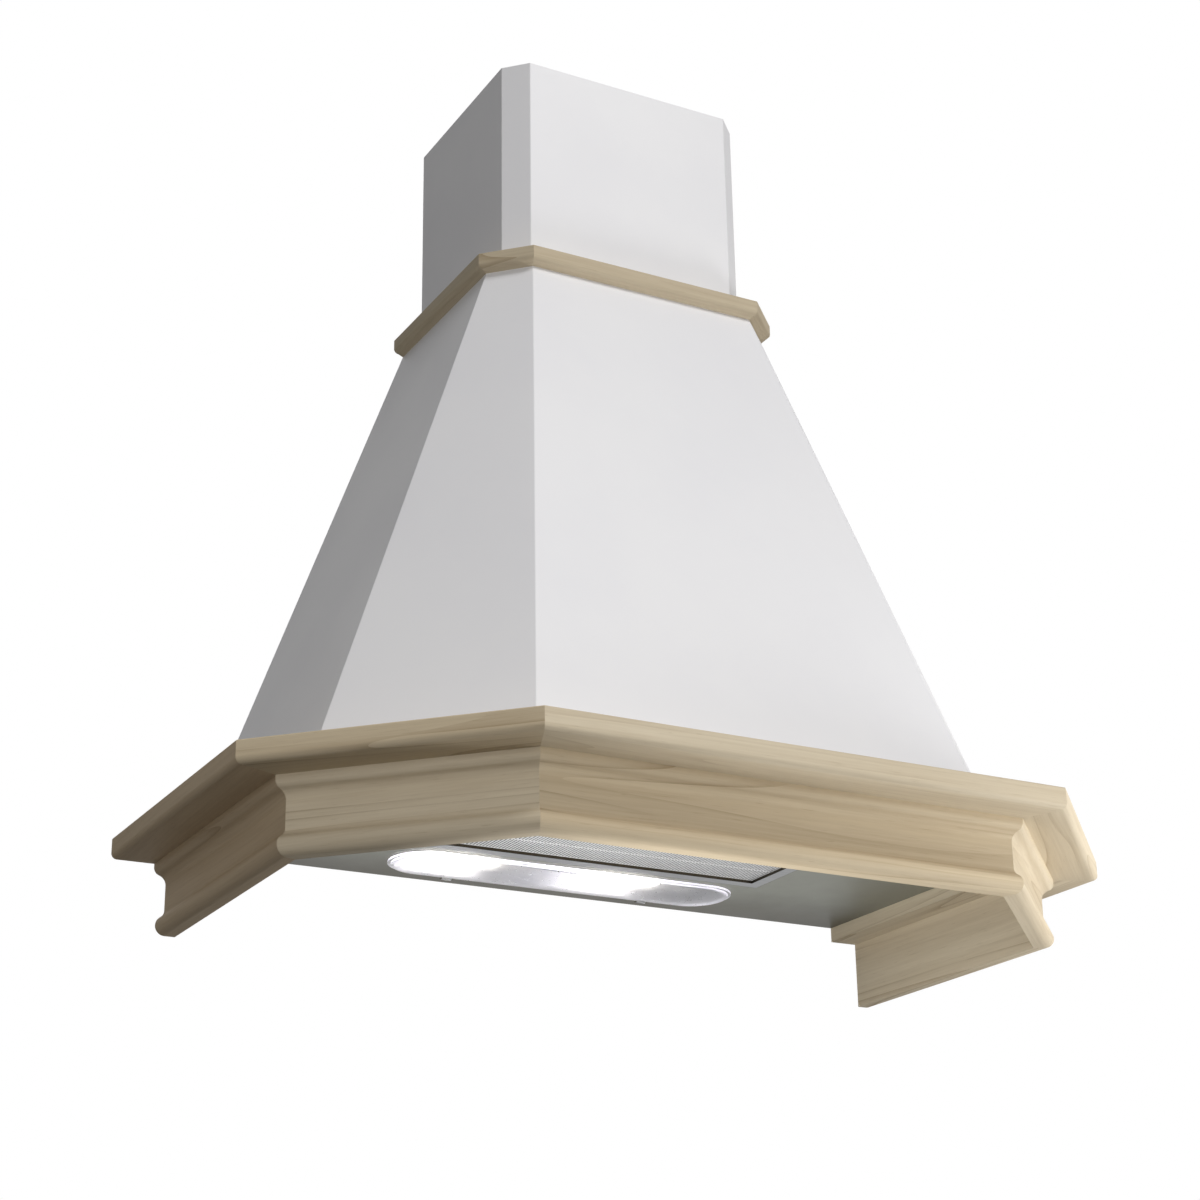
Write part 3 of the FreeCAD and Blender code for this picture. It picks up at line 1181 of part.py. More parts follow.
def outlet_spigot():
    """Round duct collar on a plate, with an inner seat for the flaps."""
    bore = SPIGOT_RADIUS - SPIGOT_WALL
    half_x = spigot_plate_half()
    plate = box(-half_x, half_x, SCROLL_FRONT, SCROLL_REAR, OUTLET_Z, OUTLET_Z + SPIGOT_PLATE)
    centre = V(0, DUCT_Y, OUTLET_Z)
    up = V(0, 0, 1)
    collar = rod(centre, up, SPIGOT_RADIUS, SPIGOT_PLATE + SPIGOT_HEIGHT)
    shape = joined([plate, collar]).cut(rod(centre, up, bore, SPIGOT_PLATE + SPIGOT_HEIGHT))
    seat_top = FLAP_PIN_Z - FLAP_SHEET / 2 - REST_GAP
    seat = tube(V(0, DUCT_Y, seat_top - SEAT_HEIGHT), up, bore + SPIGOT_WALL / 2, bore - SEAT_WIDTH,
                SEAT_HEIGHT)
    pin_hole = rod(V(0, DUCT_Y - SPIGOT_RADIUS, FLAP_PIN_Z), V(0, 1, 0), FLAP_PIN_RADIUS + SHAFT_GAP,
                   2 * SPIGOT_RADIUS)
    save("outlet_spigot", joined([shape, seat]).cut(pin_hole))
    reach = math.sqrt(SPIGOT_RADIUS ** 2 - FLAP_PIN_RADIUS ** 2) - SCREW_GAP
    save("flap_pin", rod(V(0, DUCT_Y - reach, FLAP_PIN_Z), V(0, 1, 0), FLAP_PIN_RADIUS, 2 * reach))


def flap(side, spans):
    """Half-round flap with two barrels on the pin."""
    radius = SPIGOT_RADIUS - SPIGOT_WALL - FLAP_GAP
    centre = V(0, DUCT_Y, FLAP_PIN_Z - FLAP_SHEET / 2)
    disc = rod(centre, V(0, 0, 1), radius, FLAP_SHEET)
    keep = box(side * FLAP_SETBACK, side * SPIGOT_RADIUS, DUCT_Y - SPIGOT_RADIUS, DUCT_Y + SPIGOT_RADIUS,
               centre.z, centre.z + FLAP_SHEET)
    shapes = [disc.common(keep)]
    bores = []
    for low, high in spans:
        start = V(0, DUCT_Y + low, FLAP_PIN_Z)
        shapes.append(rod(start, V(0, 1, 0), FLAP_BARREL, high - low))
        shapes.append(box(0, side * (FLAP_SETBACK + 1), start.y, start.y + high - low, centre.z,
                          centre.z + FLAP_SHEET))
        bores.append(rod(start, V(0, 1, 0), FLAP_PIN_RADIUS + FLAP_PIN_GAP, high - low))
    return joined(shapes).cut(bores)


def flaps():
    pitch = 2 * FLAP_REACH / 4
    spans = [(k * pitch - FLAP_REACH, (k + 1) * pitch - FLAP_REACH - BARREL_GAP) for k in range(4)]
    save("flap_left", flap(-1, spans[0::2]))
    save("flap_right", flap(1, spans[1::2]))


# ---------------------------------------------------------------- electrical box

def control_box():
    left, right = BOX_LEFT, BOX_LEFT + BOX_LENGTH
    low, high = BOX_BOTTOM, BOX_BOTTOM + BOX_HEIGHT
    back, front = -BACK_SHEET, -BACK_SHEET - BOX_DEPTH
    wall = BOX_WALL
    tray = box(left, right, front, back, low, high)
    tray = tray.cut(box(left + wall, right - wall, front, back - wall, low + wall, high - wall))
    middle_x = left + BOX_LENGTH / 2
    gland_x = right - GLAND_INSET
    gland_y = (back + front) / 2
    tray = tray.cut(rod(V(gland_x, gland_y, high - wall), V(0, 0, 1), GLAND_RADIUS * 0.8 + SCREW_GAP,
                        wall))
    save("control_box", tray)
    cover_plate = box(left, right, front - wall, front, low, high)
    lip = box(left + wall + REST_GAP, right - wall - REST_GAP, front, front + 2 * wall,
              low + wall + REST_GAP, high - wall - REST_GAP)
    lip = lip.cut(box(left + 2 * wall + REST_GAP, right - 2 * wall - REST_GAP, front, front + 2 * wall,
                      low + 2 * wall + REST_GAP, high - 2 * wall - REST_GAP))
    save("control_box_cover", joined([cover_plate, lip]))
    base_y = back - wall
    terminal_x = middle_x - TERMINAL_LENGTH / 2
    terminal_z = high - wall - GLAND_LENGTH - TERMINAL_HEIGHT
    block = box(terminal_x, terminal_x + TERMINAL_LENGTH, base_y - TERMINAL_DEPTH, base_y, terminal_z,
                terminal_z + TERMINAL_HEIGHT)
    pitch = TERMINAL_LENGTH / TERMINAL_WAYS
    wells = [rod(V(terminal_x + (k + 0.5) * pitch, base_y - TERMINAL_DEPTH,
                   terminal_z + TERMINAL_HEIGHT / 2), V(0, 1, 0), pitch * 0.28, TERMINAL_DEPTH * 0.4)
             for k in range(TERMINAL_WAYS)]
    save("terminal_block", block.cut(wells))
    can_z = low + wall + CAPACITOR_RADIUS + 3 * wall
    can = rod(V(middle_x - CAPACITOR_LENGTH / 2, base_y - CAPACITOR_RADIUS, can_z), V(1, 0, 0),
              CAPACITOR_RADIUS, CAPACITOR_LENGTH)
    ends = [edge for edge in can.Edges if edge.Curve.TypeId == "Part::GeomCircle"]
    save("capacitor", can.makeFillet(wall * 0.6, ends))
    gland(V(gland_x, gland_y, high))


def gland(seat):
    """Gland for the mains lead: flange on the box, threaded neck through its wall, lock nut inside."""
    up = V(0, 0, 1)
    wall = BOX_WALL
    below = GLAND_LENGTH * 0.3
    neck = rod(seat - up * (wall + below), up, GLAND_RADIUS * 0.8, wall + below)
    collar = hexagon(seat, up, GLAND_RADIUS * 2, GLAND_FLANGE)
    dome_height = GLAND_LENGTH - wall - below - GLAND_FLANGE
    dome = rod(seat + up * GLAND_FLANGE, up, GLAND_RADIUS * 0.85, dome_height)
    top = [edge for edge in dome.Edges if edge.BoundBox.ZMin > dome.BoundBox.ZMax - 0.01]
    dome = dome.makeFillet(GLAND_RADIUS * 0.3, top)
    nut = hexagon(seat - up * (wall + GLAND_FLANGE), up, GLAND_RADIUS * 2, GLAND_FLANGE)
    bore = rod(seat - up * (wall + below), up, GLAND_BORE, GLAND_LENGTH)
    save("cable_gland", joined([neck, collar, dome, nut]).cut(bore))


# ---------------------------------------------------------------- build

def build():
    os.makedirs("parts", exist_ok=True)
    timber_frame()
    timber_collar()
    canopy()
    back_plate()
    lower_chimney()
    upper_chimney()
    chimney_bracket()
    panel()
    filter_frame()
    filter_mesh()
    filter_latch()
    latch_spring()
    lens()
    lens_hinges()
    lamp_tray()
    lamps()
    controls()
    blower_housing()
    blower_hangers()
    blower_screws()
    inlet_grille()
    motor()
    impeller()
    outlet_spigot()
    flaps()
    control_box()


build()
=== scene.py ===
import math

import bmesh
import bpy
from mathutils import Matrix, Vector


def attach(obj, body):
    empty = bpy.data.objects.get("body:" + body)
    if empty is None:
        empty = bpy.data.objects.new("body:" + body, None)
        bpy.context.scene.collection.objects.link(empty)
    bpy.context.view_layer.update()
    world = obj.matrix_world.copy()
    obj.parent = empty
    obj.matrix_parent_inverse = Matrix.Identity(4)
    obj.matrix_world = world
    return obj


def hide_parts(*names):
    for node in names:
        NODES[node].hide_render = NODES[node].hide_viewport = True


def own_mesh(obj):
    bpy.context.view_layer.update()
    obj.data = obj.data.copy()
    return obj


# Wall range hood: white enamelled canopy and chimney, raw timber cornice and collar,
# grey suction panel with a grease filter, two lamps under a clear cover, and a blower inside.
# Metres. X to the right, Y into the wall, Z up; the origin is between the hanging holes.

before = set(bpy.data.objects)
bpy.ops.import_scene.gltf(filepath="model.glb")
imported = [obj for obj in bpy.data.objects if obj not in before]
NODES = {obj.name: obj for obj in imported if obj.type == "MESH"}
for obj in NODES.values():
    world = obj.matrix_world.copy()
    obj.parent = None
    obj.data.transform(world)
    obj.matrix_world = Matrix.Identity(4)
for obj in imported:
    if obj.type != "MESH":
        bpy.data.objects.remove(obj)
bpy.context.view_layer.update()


def colour(red, green, blue):
    """Linear colour from the 0 to 255 values that a screen shows."""
    def linear(value):
        share = value / 255
        return share / 12.92 if share <= 0.04045 else ((share + 0.055) / 1.055) ** 2.4
    return (linear(red), linear(green), linear(blue), 1.0)


BLACK = (0.0, 0.0, 0.0, 1.0)
WHITE = (1.0, 1.0, 1.0, 1.0)


# ---------------------------------------------------------------- camera and lights

CAMERA_PLACE = (-1.08917, -2.12833, -0.91908)
CAMERA_YAW = 28.68              # degrees to the right of the wall's normal
CAMERA_PITCH = 21.37            # degrees upward
CAMERA_ROLL = -0.94             # degrees by which its right side is lifted
LENS_MM = 72.04
SENSOR_MM = 36.0
NEAREST_SEEN = 0.05
FARTHEST_SEEN = 60.0


def make_camera():
    yaw, pitch, roll = (math.radians(angle) for angle in (CAMERA_YAW, CAMERA_PITCH, CAMERA_ROLL))
    ahead = Vector((math.sin(yaw) * math.cos(pitch), math.cos(yaw) * math.cos(pitch), math.sin(pitch)))
    level_right = Vector((math.cos(yaw), -math.sin(yaw), 0))
    level_up = level_right.cross(ahead)
    right = level_right * math.cos(roll) + level_up * math.sin(roll)
    up = level_up * math.cos(roll) - level_right * math.sin(roll)
    camera = bpy.data.objects.new("camera", bpy.data.cameras.new("camera"))
    camera.matrix_world = Matrix((
        (right.x, up.x, -ahead.x, CAMERA_PLACE[0]),
        (right.y, up.y, -ahead.y, CAMERA_PLACE[1]),
        (right.z, up.z, -ahead.z, CAMERA_PLACE[2]),
        (0, 0, 0, 1),
    ))
    camera.data.lens = LENS_MM
    camera.data.sensor_width = SENSOR_MM
    camera.data.clip_start = NEAREST_SEEN
    camera.data.clip_end = FARTHEST_SEEN
    bpy.context.scene.collection.objects.link(camera)
    bpy.context.scene.camera = camera


def area_light(name, place, target, width, watts):
    """Round white light that faces its target."""
    light = bpy.data.lights.new(name, "AREA")
    light.shape = "DISK"
    light.size = width
    light.energy = watts
    holder = bpy.data.objects.new(name, light)
    holder.location = place
    holder.rotation_euler = (Vector(target) - Vector(place)).to_track_quat("-Z", "Y").to_euler()
    holder.visible_camera = False
    bpy.context.scene.collection.objects.link(holder)


def lights():
    """Key high in front, fill low on the left, bounce from low on the right, and glow under the panel."""
    area_light("key", place=(1.1, -4.08, 3.58), target=(0.0, -0.35, 0.0), width=1.8, watts=152)
    area_light("fill", place=(-1.54, -2.81, -0.3), target=(0.0, -0.35, -0.2), width=1.4, watts=30)
    area_light("side", place=(0.75, -0.75, -0.65), target=(0.2, -0.42, -0.33), width=0.4, watts=4.8)
    area_light("glow", place=(-0.15, -0.3, -0.62), target=(0.2, -0.25, -0.33), width=0.3, watts=1.5)


# ---------------------------------------------------------------- shader nodes

MIX_FIRST, MIX_SECOND, MIX_RESULT = 6, 7, 2     # sockets of a Mix node that mixes colours
SURFACE_OUTPUTS = (("Colour", "Color"), ("Roughness", "Float"), ("Height", "Float"))


def node(tree, kind, inputs, **settings):
    """Add one shader node and return its outputs; an input is a value or another node's output."""
    made = tree.nodes.new("ShaderNode" + kind)
    for name, value in settings.items():
        setattr(made, name, value)
    for name, value in inputs.items():
        if isinstance(value, bpy.types.NodeSocket):
            tree.links.new(value, made.inputs[name])
        else:
            made.inputs[name].default_value = value
    return made.outputs


def maths(tree, operation, first, second=0.0):
    return node(tree, "Math", {0: first, 1: second}, operation=operation)[0]


def mixed(tree, share, first, second):
    """Colour between first and second."""
    return node(tree, "Mix", {0: share, MIX_FIRST: first, MIX_SECOND: second}, data_type="RGBA")[MIX_RESULT]


def ramp(tree, value, low, high, to_low=0.0, to_high=1.0):
    """Value mapped smoothly from low..high to a new range."""
    return node(tree, "MapRange", {0: value, 1: low, 2: high, 3: to_low, 4: to_high},
                interpolation_type="SMOOTHSTEP")[0]


def axis(tree, vector, letter):
    """One coordinate of a vector."""
    return node(tree, "SeparateXYZ", {0: vector})[letter]


def noise(tree, vector, scale, detail=3.0, roughness=0.5, distortion=0.0):
    return node(tree, "TexNoise", {"Vector": vector, "Scale": scale, "Detail": detail,
                                   "Roughness": roughness, "Distortion": distortion})[0]


def stretched_noise(tree, vector, scales, detail, roughness=0.5, distortion=0.0):
    """Noise with its own number of features to the metre along each axis."""
    scaled = node(tree, "Mapping", {"Vector": vector, "Scale": scales})[0]
    return noise(tree, scaled, 1.0, detail, roughness, distortion)


def effect(name, inputs):
    """Start a node group with named sockets; returns the group, its entry and its exit."""
    group = bpy.data.node_groups.new(name, "ShaderNodeTree")
    for title, kind, value in inputs:
        socket = group.interface.new_socket(title, in_out="INPUT", socket_type="NodeSocket" + kind)
        if value is not None:
            socket.default_value = value
    for title, kind in SURFACE_OUTPUTS:
        group.interface.new_socket(title, in_out="OUTPUT", socket_type="NodeSocket" + kind)
    return group, group.nodes.new("NodeGroupInput").outputs, group.nodes.new("NodeGroupOutput").inputs


def place_effect(tree, group, **inputs):
    """Place a shared effect in a material, with its own inputs."""
    return node(tree, "Group", inputs, node_tree=group)


class Finish:
    """A material whose Principled shader takes plain values, and outputs that vary over the surface."""

    def __init__(self, name, **plain):
        self.material = bpy.data.materials.new(name)
        self.material.use_nodes = True
        self.tree = self.material.node_tree
        self.shader = next(n for n in self.tree.nodes if n.type == "BSDF_PRINCIPLED")
        for title, value in plain.items():
            self.shader.inputs[title.replace("_", " ")].default_value = value
        coordinates = node(self.tree, "TexCoord", {})
        self.place = coordinates["Object"]
        self.facing = coordinates["Normal"]

    def link(self, title, output):
        self.tree.links.new(output, self.shader.inputs[title])

    def bump(self, height, relief, depth):
        made = node(self.tree, "Bump", {"Strength": relief, "Distance": depth, "Height": height})
        self.link("Normal", made[0])

    def surface(self, tint, rough, height, relief, depth=0.0002):
        """Link the colour, the roughness and the bump, and return the finished material."""
        self.link("Base Color", tint)
        self.link("Roughness", rough)
        self.bump(height, relief, depth)
        return self.material

    def upright_walls(self, low, high):
        """Mask that is 1 on upright faces and fades to 0 between two shares of facing up or down."""
        level = maths(self.tree, "ABSOLUTE", axis(self.tree, self.facing, "Z"))
        return ramp(self.tree, level, low, high, 1.0, 0.0)


# ---------------------------------------------------------------- shared effects

# Pale and dark tone of each timber. The half-shaded and shaded timbers are the pale timber darkened as
# painted shade.
PALE_TIMBER = colour(222, 209, 184), colour(166, 145, 114)
HALF_SHADED_TIMBER = colour(213, 197, 168), colour(156, 134, 103)
SHADED_SIDE_TIMBER = colour(205, 184, 153), colour(146, 121, 91)
COLLAR_TIMBER = colour(205, 191, 165), colour(150, 129, 99)
BEECH = colour(214, 180, 134), colour(176, 136, 92)

SWAY_SIDEWAYS = 0.035           # how far the grain wanders off its line
SWAY_UPWARD = 0.025
GROWTH_LINES = 17.0             # over the whole range of their noise
FEATHERING = 6.0                # a growth line darkens towards its edge by this power

# How much of the dark tone each layer of the grain adds.
LINE_SHARE = 0.6
STREAK_SHARE = 0.26
FIBRE_SHARE = 0.16
PORE_SHARE = 0.25
END_GRAIN_SHARE = 0.25
FIBRE_DEPTH = 0.4               # share of a pore's depth

PEEL_SCALE = 650.0              # features to the metre in paint's faint texture
CLOUD_SWING = 4.0               # widens the clouds' noise, which keeps near its middle, to the whole spread
LINE_ROUGHNESS = 0.18           # what a brushed line adds to the roughness


def grain_effect():
    """Timber with its grain along local X: feathered growth lines, streaks, fibres, pores and end grain."""
    group, entry, leave = effect("timber grain", [
        ("Place", "Vector", None), ("Facing", "Vector", None),
        ("Pale", "Color", PALE_TIMBER[0]), ("Dark", "Color", PALE_TIMBER[1])])

    def layer(vector, along, across, detail, roughness=0.5):
        return stretched_noise(group, vector, (along, across, across), detail, roughness)

    place = entry["Place"]
    wander = layer(place, along=1.6, across=6.0, detail=2.0)
    sway = node(group, "CombineXYZ", {"Y": maths(group, "MULTIPLY", wander, SWAY_SIDEWAYS),
                                      "Z": maths(group, "MULTIPLY", wander, SWAY_UPWARD)})[0]
    swayed = node(group, "VectorMath", {0: place, 1: sway}, operation="ADD")[0]
    rings = layer(swayed, along=0.7, across=16.0, detail=1.0, roughness=0.4)
    turns = maths(group, "FRACT", maths(group, "MULTIPLY", rings, GROWTH_LINES))
    feather = maths(group, "POWER", turns, FEATHERING)
    patches = ramp(group, layer(place, along=2.5, across=22.0, detail=1.0), 0.45, 0.7)
    streak = ramp(group, layer(swayed, along=1.1, across=38.0, detail=3.0), 0.3, 0.75)
    fibre = ramp(group, layer(swayed, along=9.0, across=400.0, detail=3.0, roughness=0.6), 0.3, 0.75)
    pore = ramp(group, layer(swayed, along=45.0, across=1300.0, detail=1.0), 0.64, 0.8)
    end = ramp(group, maths(group, "ABSOLUTE", axis(group, entry["Facing"], "X")), 0.86, 0.97)
    dark = maths(group, "MULTIPLY", feather, maths(group, "MULTIPLY", patches, LINE_SHARE))
    for share, mask in ((STREAK_SHARE, streak), (FIBRE_SHARE, fibre), (PORE_SHARE, pore),
                        (END_GRAIN_SHARE, end)):
        dark = maths(group, "ADD", dark, maths(group, "MULTIPLY", mask, share))
    group.links.new(mixed(group, dark, entry["Pale"], entry["Dark"]), leave["Colour"])
    group.links.new(ramp(group, dark, 0.0, 1.0, to_low=0.62, to_high=0.76), leave["Roughness"])
    hollow = maths(group, "ADD", maths(group, "MULTIPLY", fibre, FIBRE_DEPTH), pore)
    group.links.new(maths(group, "SUBTRACT", 1.0, hollow), leave["Height"])
    return group


def haze_effect():
    """Cloudy variation in colour and gloss, as on any large painted or moulded surface."""
    group, entry, leave = effect("surface haze", [
        ("Place", "Vector", None), ("Base", "Color", colour(200, 200, 200)),
        ("Deep", "Color", colour(180, 180, 180)), ("Size", "Float", 12.0),
        ("Rough", "Float", 0.45), ("Spread", "Float", 0.06)])
    cloud = noise(group, entry["Place"], entry["Size"], detail=4.0, roughness=0.6)
    peel = noise(group, entry["Place"], PEEL_SCALE, detail=1.0, roughness=0.4)
    tint = mixed(group, ramp(group, cloud, 0.3, 0.7), entry["Base"], entry["Deep"])
    swing = maths(group, "MULTIPLY", maths(group, "SUBTRACT", cloud, 0.5),
                  maths(group, "MULTIPLY", entry["Spread"], CLOUD_SWING))
    group.links.new(tint, leave["Colour"])
    group.links.new(maths(group, "ADD", entry["Rough"], swing), leave["Roughness"])
    group.links.new(peel, leave["Height"])
    return group


def brushed_effect():
    """Fine lines along one direction, for rolled and brushed metal."""
    group, entry, leave = effect("brushed lines", [
        ("Place", "Vector", None), ("Stretch", "Vector", (8.0, 900.0, 900.0)),
        ("Base", "Color", colour(200, 200, 205)), ("Deep", "Color", colour(165, 165, 170)),
        ("Rough", "Float", 0.35)])
    scaled = node(group, "VectorMath", {0: entry["Place"], 1: entry["Stretch"]}, operation="MULTIPLY")[0]
    lines = noise(group, scaled, 1.0, detail=3.0, roughness=0.6)
    group.links.new(mixed(group, lines, entry["Base"], entry["Deep"]), leave["Colour"])
    rough = maths(group, "ADD", entry["Rough"], maths(group, "MULTIPLY", lines, LINE_ROUGHNESS))
    group.links.new(rough, leave["Roughness"])
    group.links.new(lines, leave["Height"])
    return group


GRAIN = grain_effect()
HAZE = haze_effect()
BRUSHED = brushed_effect()


# ---------------------------------------------------------------- finishes

def timber(name, turn, offset, pale, dark):
    """Timber whose grain runs at an angle to X in plan; the offset gives each piece its own board."""
    finish = Finish(name, Specular_IOR_Level=0.2)
    turning = (0, 0, math.radians(-turn))
    place = node(finish.tree, "Mapping", {"Vector": finish.place, "Rotation": turning, "Location": offset})
    facing = node(finish.tree, "Mapping", {"Vector": finish.facing, "Rotation": turning})
    grain = place_effect(finish.tree, GRAIN, Place=place[0], Facing=facing[0], Pale=pale, Dark=dark)
    return finish.surface(grain["Colour"], grain["Roughness"], grain["Height"], relief=0.35, depth=0.0003)


def hazed(name, base, deep, size, rough, spread=0.05, relief=0.1):
    """Painted or moulded surface with cloudy variation and a faint texture."""
    finish = Finish(name)
    haze = place_effect(finish.tree, HAZE, Place=finish.place, Base=base, Deep=deep, Size=size,
                        Rough=rough, Spread=spread)
    return finish.surface(haze["Colour"], haze["Roughness"], haze["Height"], relief)


def brush_lines(finish, base, deep, lines, rough):
    """Fine lines on a finish, given as so many to the metre along each axis."""
    return place_effect(finish.tree, BRUSHED, Place=finish.place, Stretch=lines, Base=base, Deep=deep,
                        Rough=rough)


def brushed(name, base, deep, lines, rough, relief=0.15):
    """Metal with fine lines."""
    finish = Finish(name, Metallic=1.0)
    brush = brush_lines(finish, base, deep, lines, rough)
    return finish.surface(brush["Colour"], brush["Roughness"], brush["Height"], relief)


def galvanised_finish():
    """Zinc-coated sheet with its frosty spangles."""
    finish = Finish("galvanised sheet", Metallic=1.0)
    tree = finish.tree
    cells = node(tree, "TexVoronoi", {"Vector": finish.place, "Scale": 130.0, "Randomness": 1.0})
    spangle = node(tree, "SeparateColor", {0: cells["Color"]})[0]
    tint = mixed(tree, spangle, colour(176, 180, 184), colour(206, 209, 212))
    rough = ramp(tree, spangle, 0.0, 1.0, to_low=0.36, to_high=0.58)
    return finish.surface(tint, rough, spangle, relief=0.08)


SHADE_FROM = -0.12               # Y at which the painted shade begins
SHADE_FULL = 0.01                # Y at which the painted shade is darkest, a little behind the wall plane


def panel_finish():
    """Grey satin paint, darkened towards the wall with painted shade."""
    finish = Finish("grey panel paint", Metallic=0.35)
    tree = finish.tree
    haze = place_effect(tree, HAZE, Place=finish.place, Base=colour(142, 143, 132),
                        Deep=colour(134, 135, 125), Size=9.0, Rough=0.42, Spread=0.06)
    # Painted shade: the panel darkens towards the wall, at the rear of the hood.
    rear_shade = ramp(tree, axis(tree, finish.place, "Y"), SHADE_FROM, SHADE_FULL)
    tint = mixed(tree, rear_shade, haze["Colour"], colour(92, 89, 78))
    return finish.surface(tint, haze["Roughness"], haze["Height"], relief=0.12)


# The filter's rim and the capacitor's can.
ROLLED_ALUMINIUM = {"base": colour(180, 181, 182), "deep": colour(152, 153, 155),
                    "lines": (10.0, 700.0, 700.0), "rough": 0.34}


def rim_finish():
    """Rolled aluminium, with painted shade on the upright walls of the gap round the filter."""
    finish = Finish("filter rim", Metallic=1.0)
    brush = brush_lines(finish, **ROLLED_ALUMINIUM)
    # Painted shade: the upright walls of the gap darken to a brown-grey, for the shadow in the gap at the
    # filter's edge.
    tint = mixed(finish.tree, finish.upright_walls(0.3, 0.8), brush["Colour"], colour(74, 68, 58))
    return finish.surface(tint, brush["Roughness"], brush["Height"], relief=0.15)


def wire_wool_finish():
    """Knitted aluminium wire: crossing bright loops over dark gaps, where the dark is painted shade between
    the wires and under the slotted sheet.
    """
    finish = Finish("knitted wire", Metallic=0.9)
    tree = finish.tree
    across, along = (stretched_noise(tree, finish.place, scales, detail=2.0, roughness=0.6, distortion=0.8)
                     for scales in ((900, 260, 400), (260, 900, 400)))
    wire = ramp(tree, maths(tree, "MAXIMUM", across, along), 0.45, 0.66)
    # Painted shade: the dark tone of the gaps and the toned-down bright tone stand in for the shade under
    # the slotted sheet.
    tint = mixed(tree, wire, colour(70, 72, 76), colour(168, 171, 176))
    rough = ramp(tree, wire, 0.0, 1.0, to_low=0.7, to_high=0.35)
    return finish.surface(tint, rough, wire, relief=0.8, depth=0.001)


COVER_REAR = -0.0295            # the cover's knuckles lie nearer to the wall than this


def clear_cover_finish():
    """Mottled clear plastic; its upright walls glow with painted light, standing in for the lamps' light
    piped through them, least on the side to the wall.
    """
    finish = Finish("clear cover", Base_Color=colour(246, 246, 249), Transmission_Weight=1.0, IOR=1.45,
                    Emission_Strength=0.5)
    tree = finish.tree
    mottle = noise(tree, finish.place, 260.0, detail=2.0)
    # Painted light: emission on the upright walls that face the room stands in for the lamps' light piped
    # through the plastic.
    to_room = ramp(tree, axis(tree, finish.facing, "Y"), -0.1, 0.6, to_low=1.0, to_high=0.1)
    lit = maths(tree, "MULTIPLY", finish.upright_walls(0.2, 0.7), to_room)
    off_knuckles = maths(tree, "LESS_THAN", axis(tree, finish.place, "Y"), COVER_REAR)
    lit = maths(tree, "MULTIPLY", lit, off_knuckles)
    finish.link("Emission Color", mixed(tree, lit, BLACK, colour(238, 234, 247)))
    finish.link("Roughness", ramp(tree, mottle, 0.2, 0.8, to_low=0.26, to_high=0.38))
    finish.bump(mottle, relief=0.15, depth=0.0004)
    return finish.material


def bulb_glass_finish():
    """Glass of a lit bulb, whose white drifts a little."""
    finish = Finish("lit bulb glass", Base_Color=colour(250, 248, 242), Roughness=0.3,
                    Emission_Strength=12.0)
    drift = noise(finish.tree, finish.place, 40.0, detail=1.0)
    glow = mixed(finish.tree, drift, colour(255, 250, 240), colour(255, 252, 248))
    finish.link("Emission Color", glow)
    return finish.material


# Turn of the grain in plan, in degrees, and the place in the timber that each side is cut from.
GRAIN_TURNS = {"front": (0, (0.0, 0.0, 0.0)), "corner_left": (-45, (3.1, 1.4, 0.7)),
               "corner_right": (45, (5.3, 2.2, 1.1)), "side_left": (90, (7.7, 3.9, 1.6)),
               "side_right": (90, (9.2, 4.3, 2.4))}
PART_SHIFTS = {"board": 0.0, "moulding": 0.37, "collar": 0.81}      # added to that place
# Painted shade: these pieces take darker copies of the pale timber because they face away from the key light
# (left side, left corner board) or lie in the board's shadow (front moulding).
SHADED_PIECES = {"board_side_left": SHADED_SIDE_TIMBER, "moulding_side_left": SHADED_SIDE_TIMBER,
                 "board_corner_left": HALF_SHADED_TIMBER, "moulding_front": HALF_SHADED_TIMBER}


def timber_finishes():
    """A timber finish for each board, moulding and collar piece, under the piece's own name."""
    finishes = {}
    for part, shift in PART_SHIFTS.items():
        for side, (turn, cut_from) in GRAIN_TURNS.items():
            name = part + "_" + side
            tones = COLLAR_TIMBER if part == "collar" else SHADED_PIECES.get(name, PALE_TIMBER)
            offset = tuple(value + shift for value in cut_from)
            finishes[name] = timber(name.replace("_", " ") + " timber", turn, offset, *tones)
    return finishes


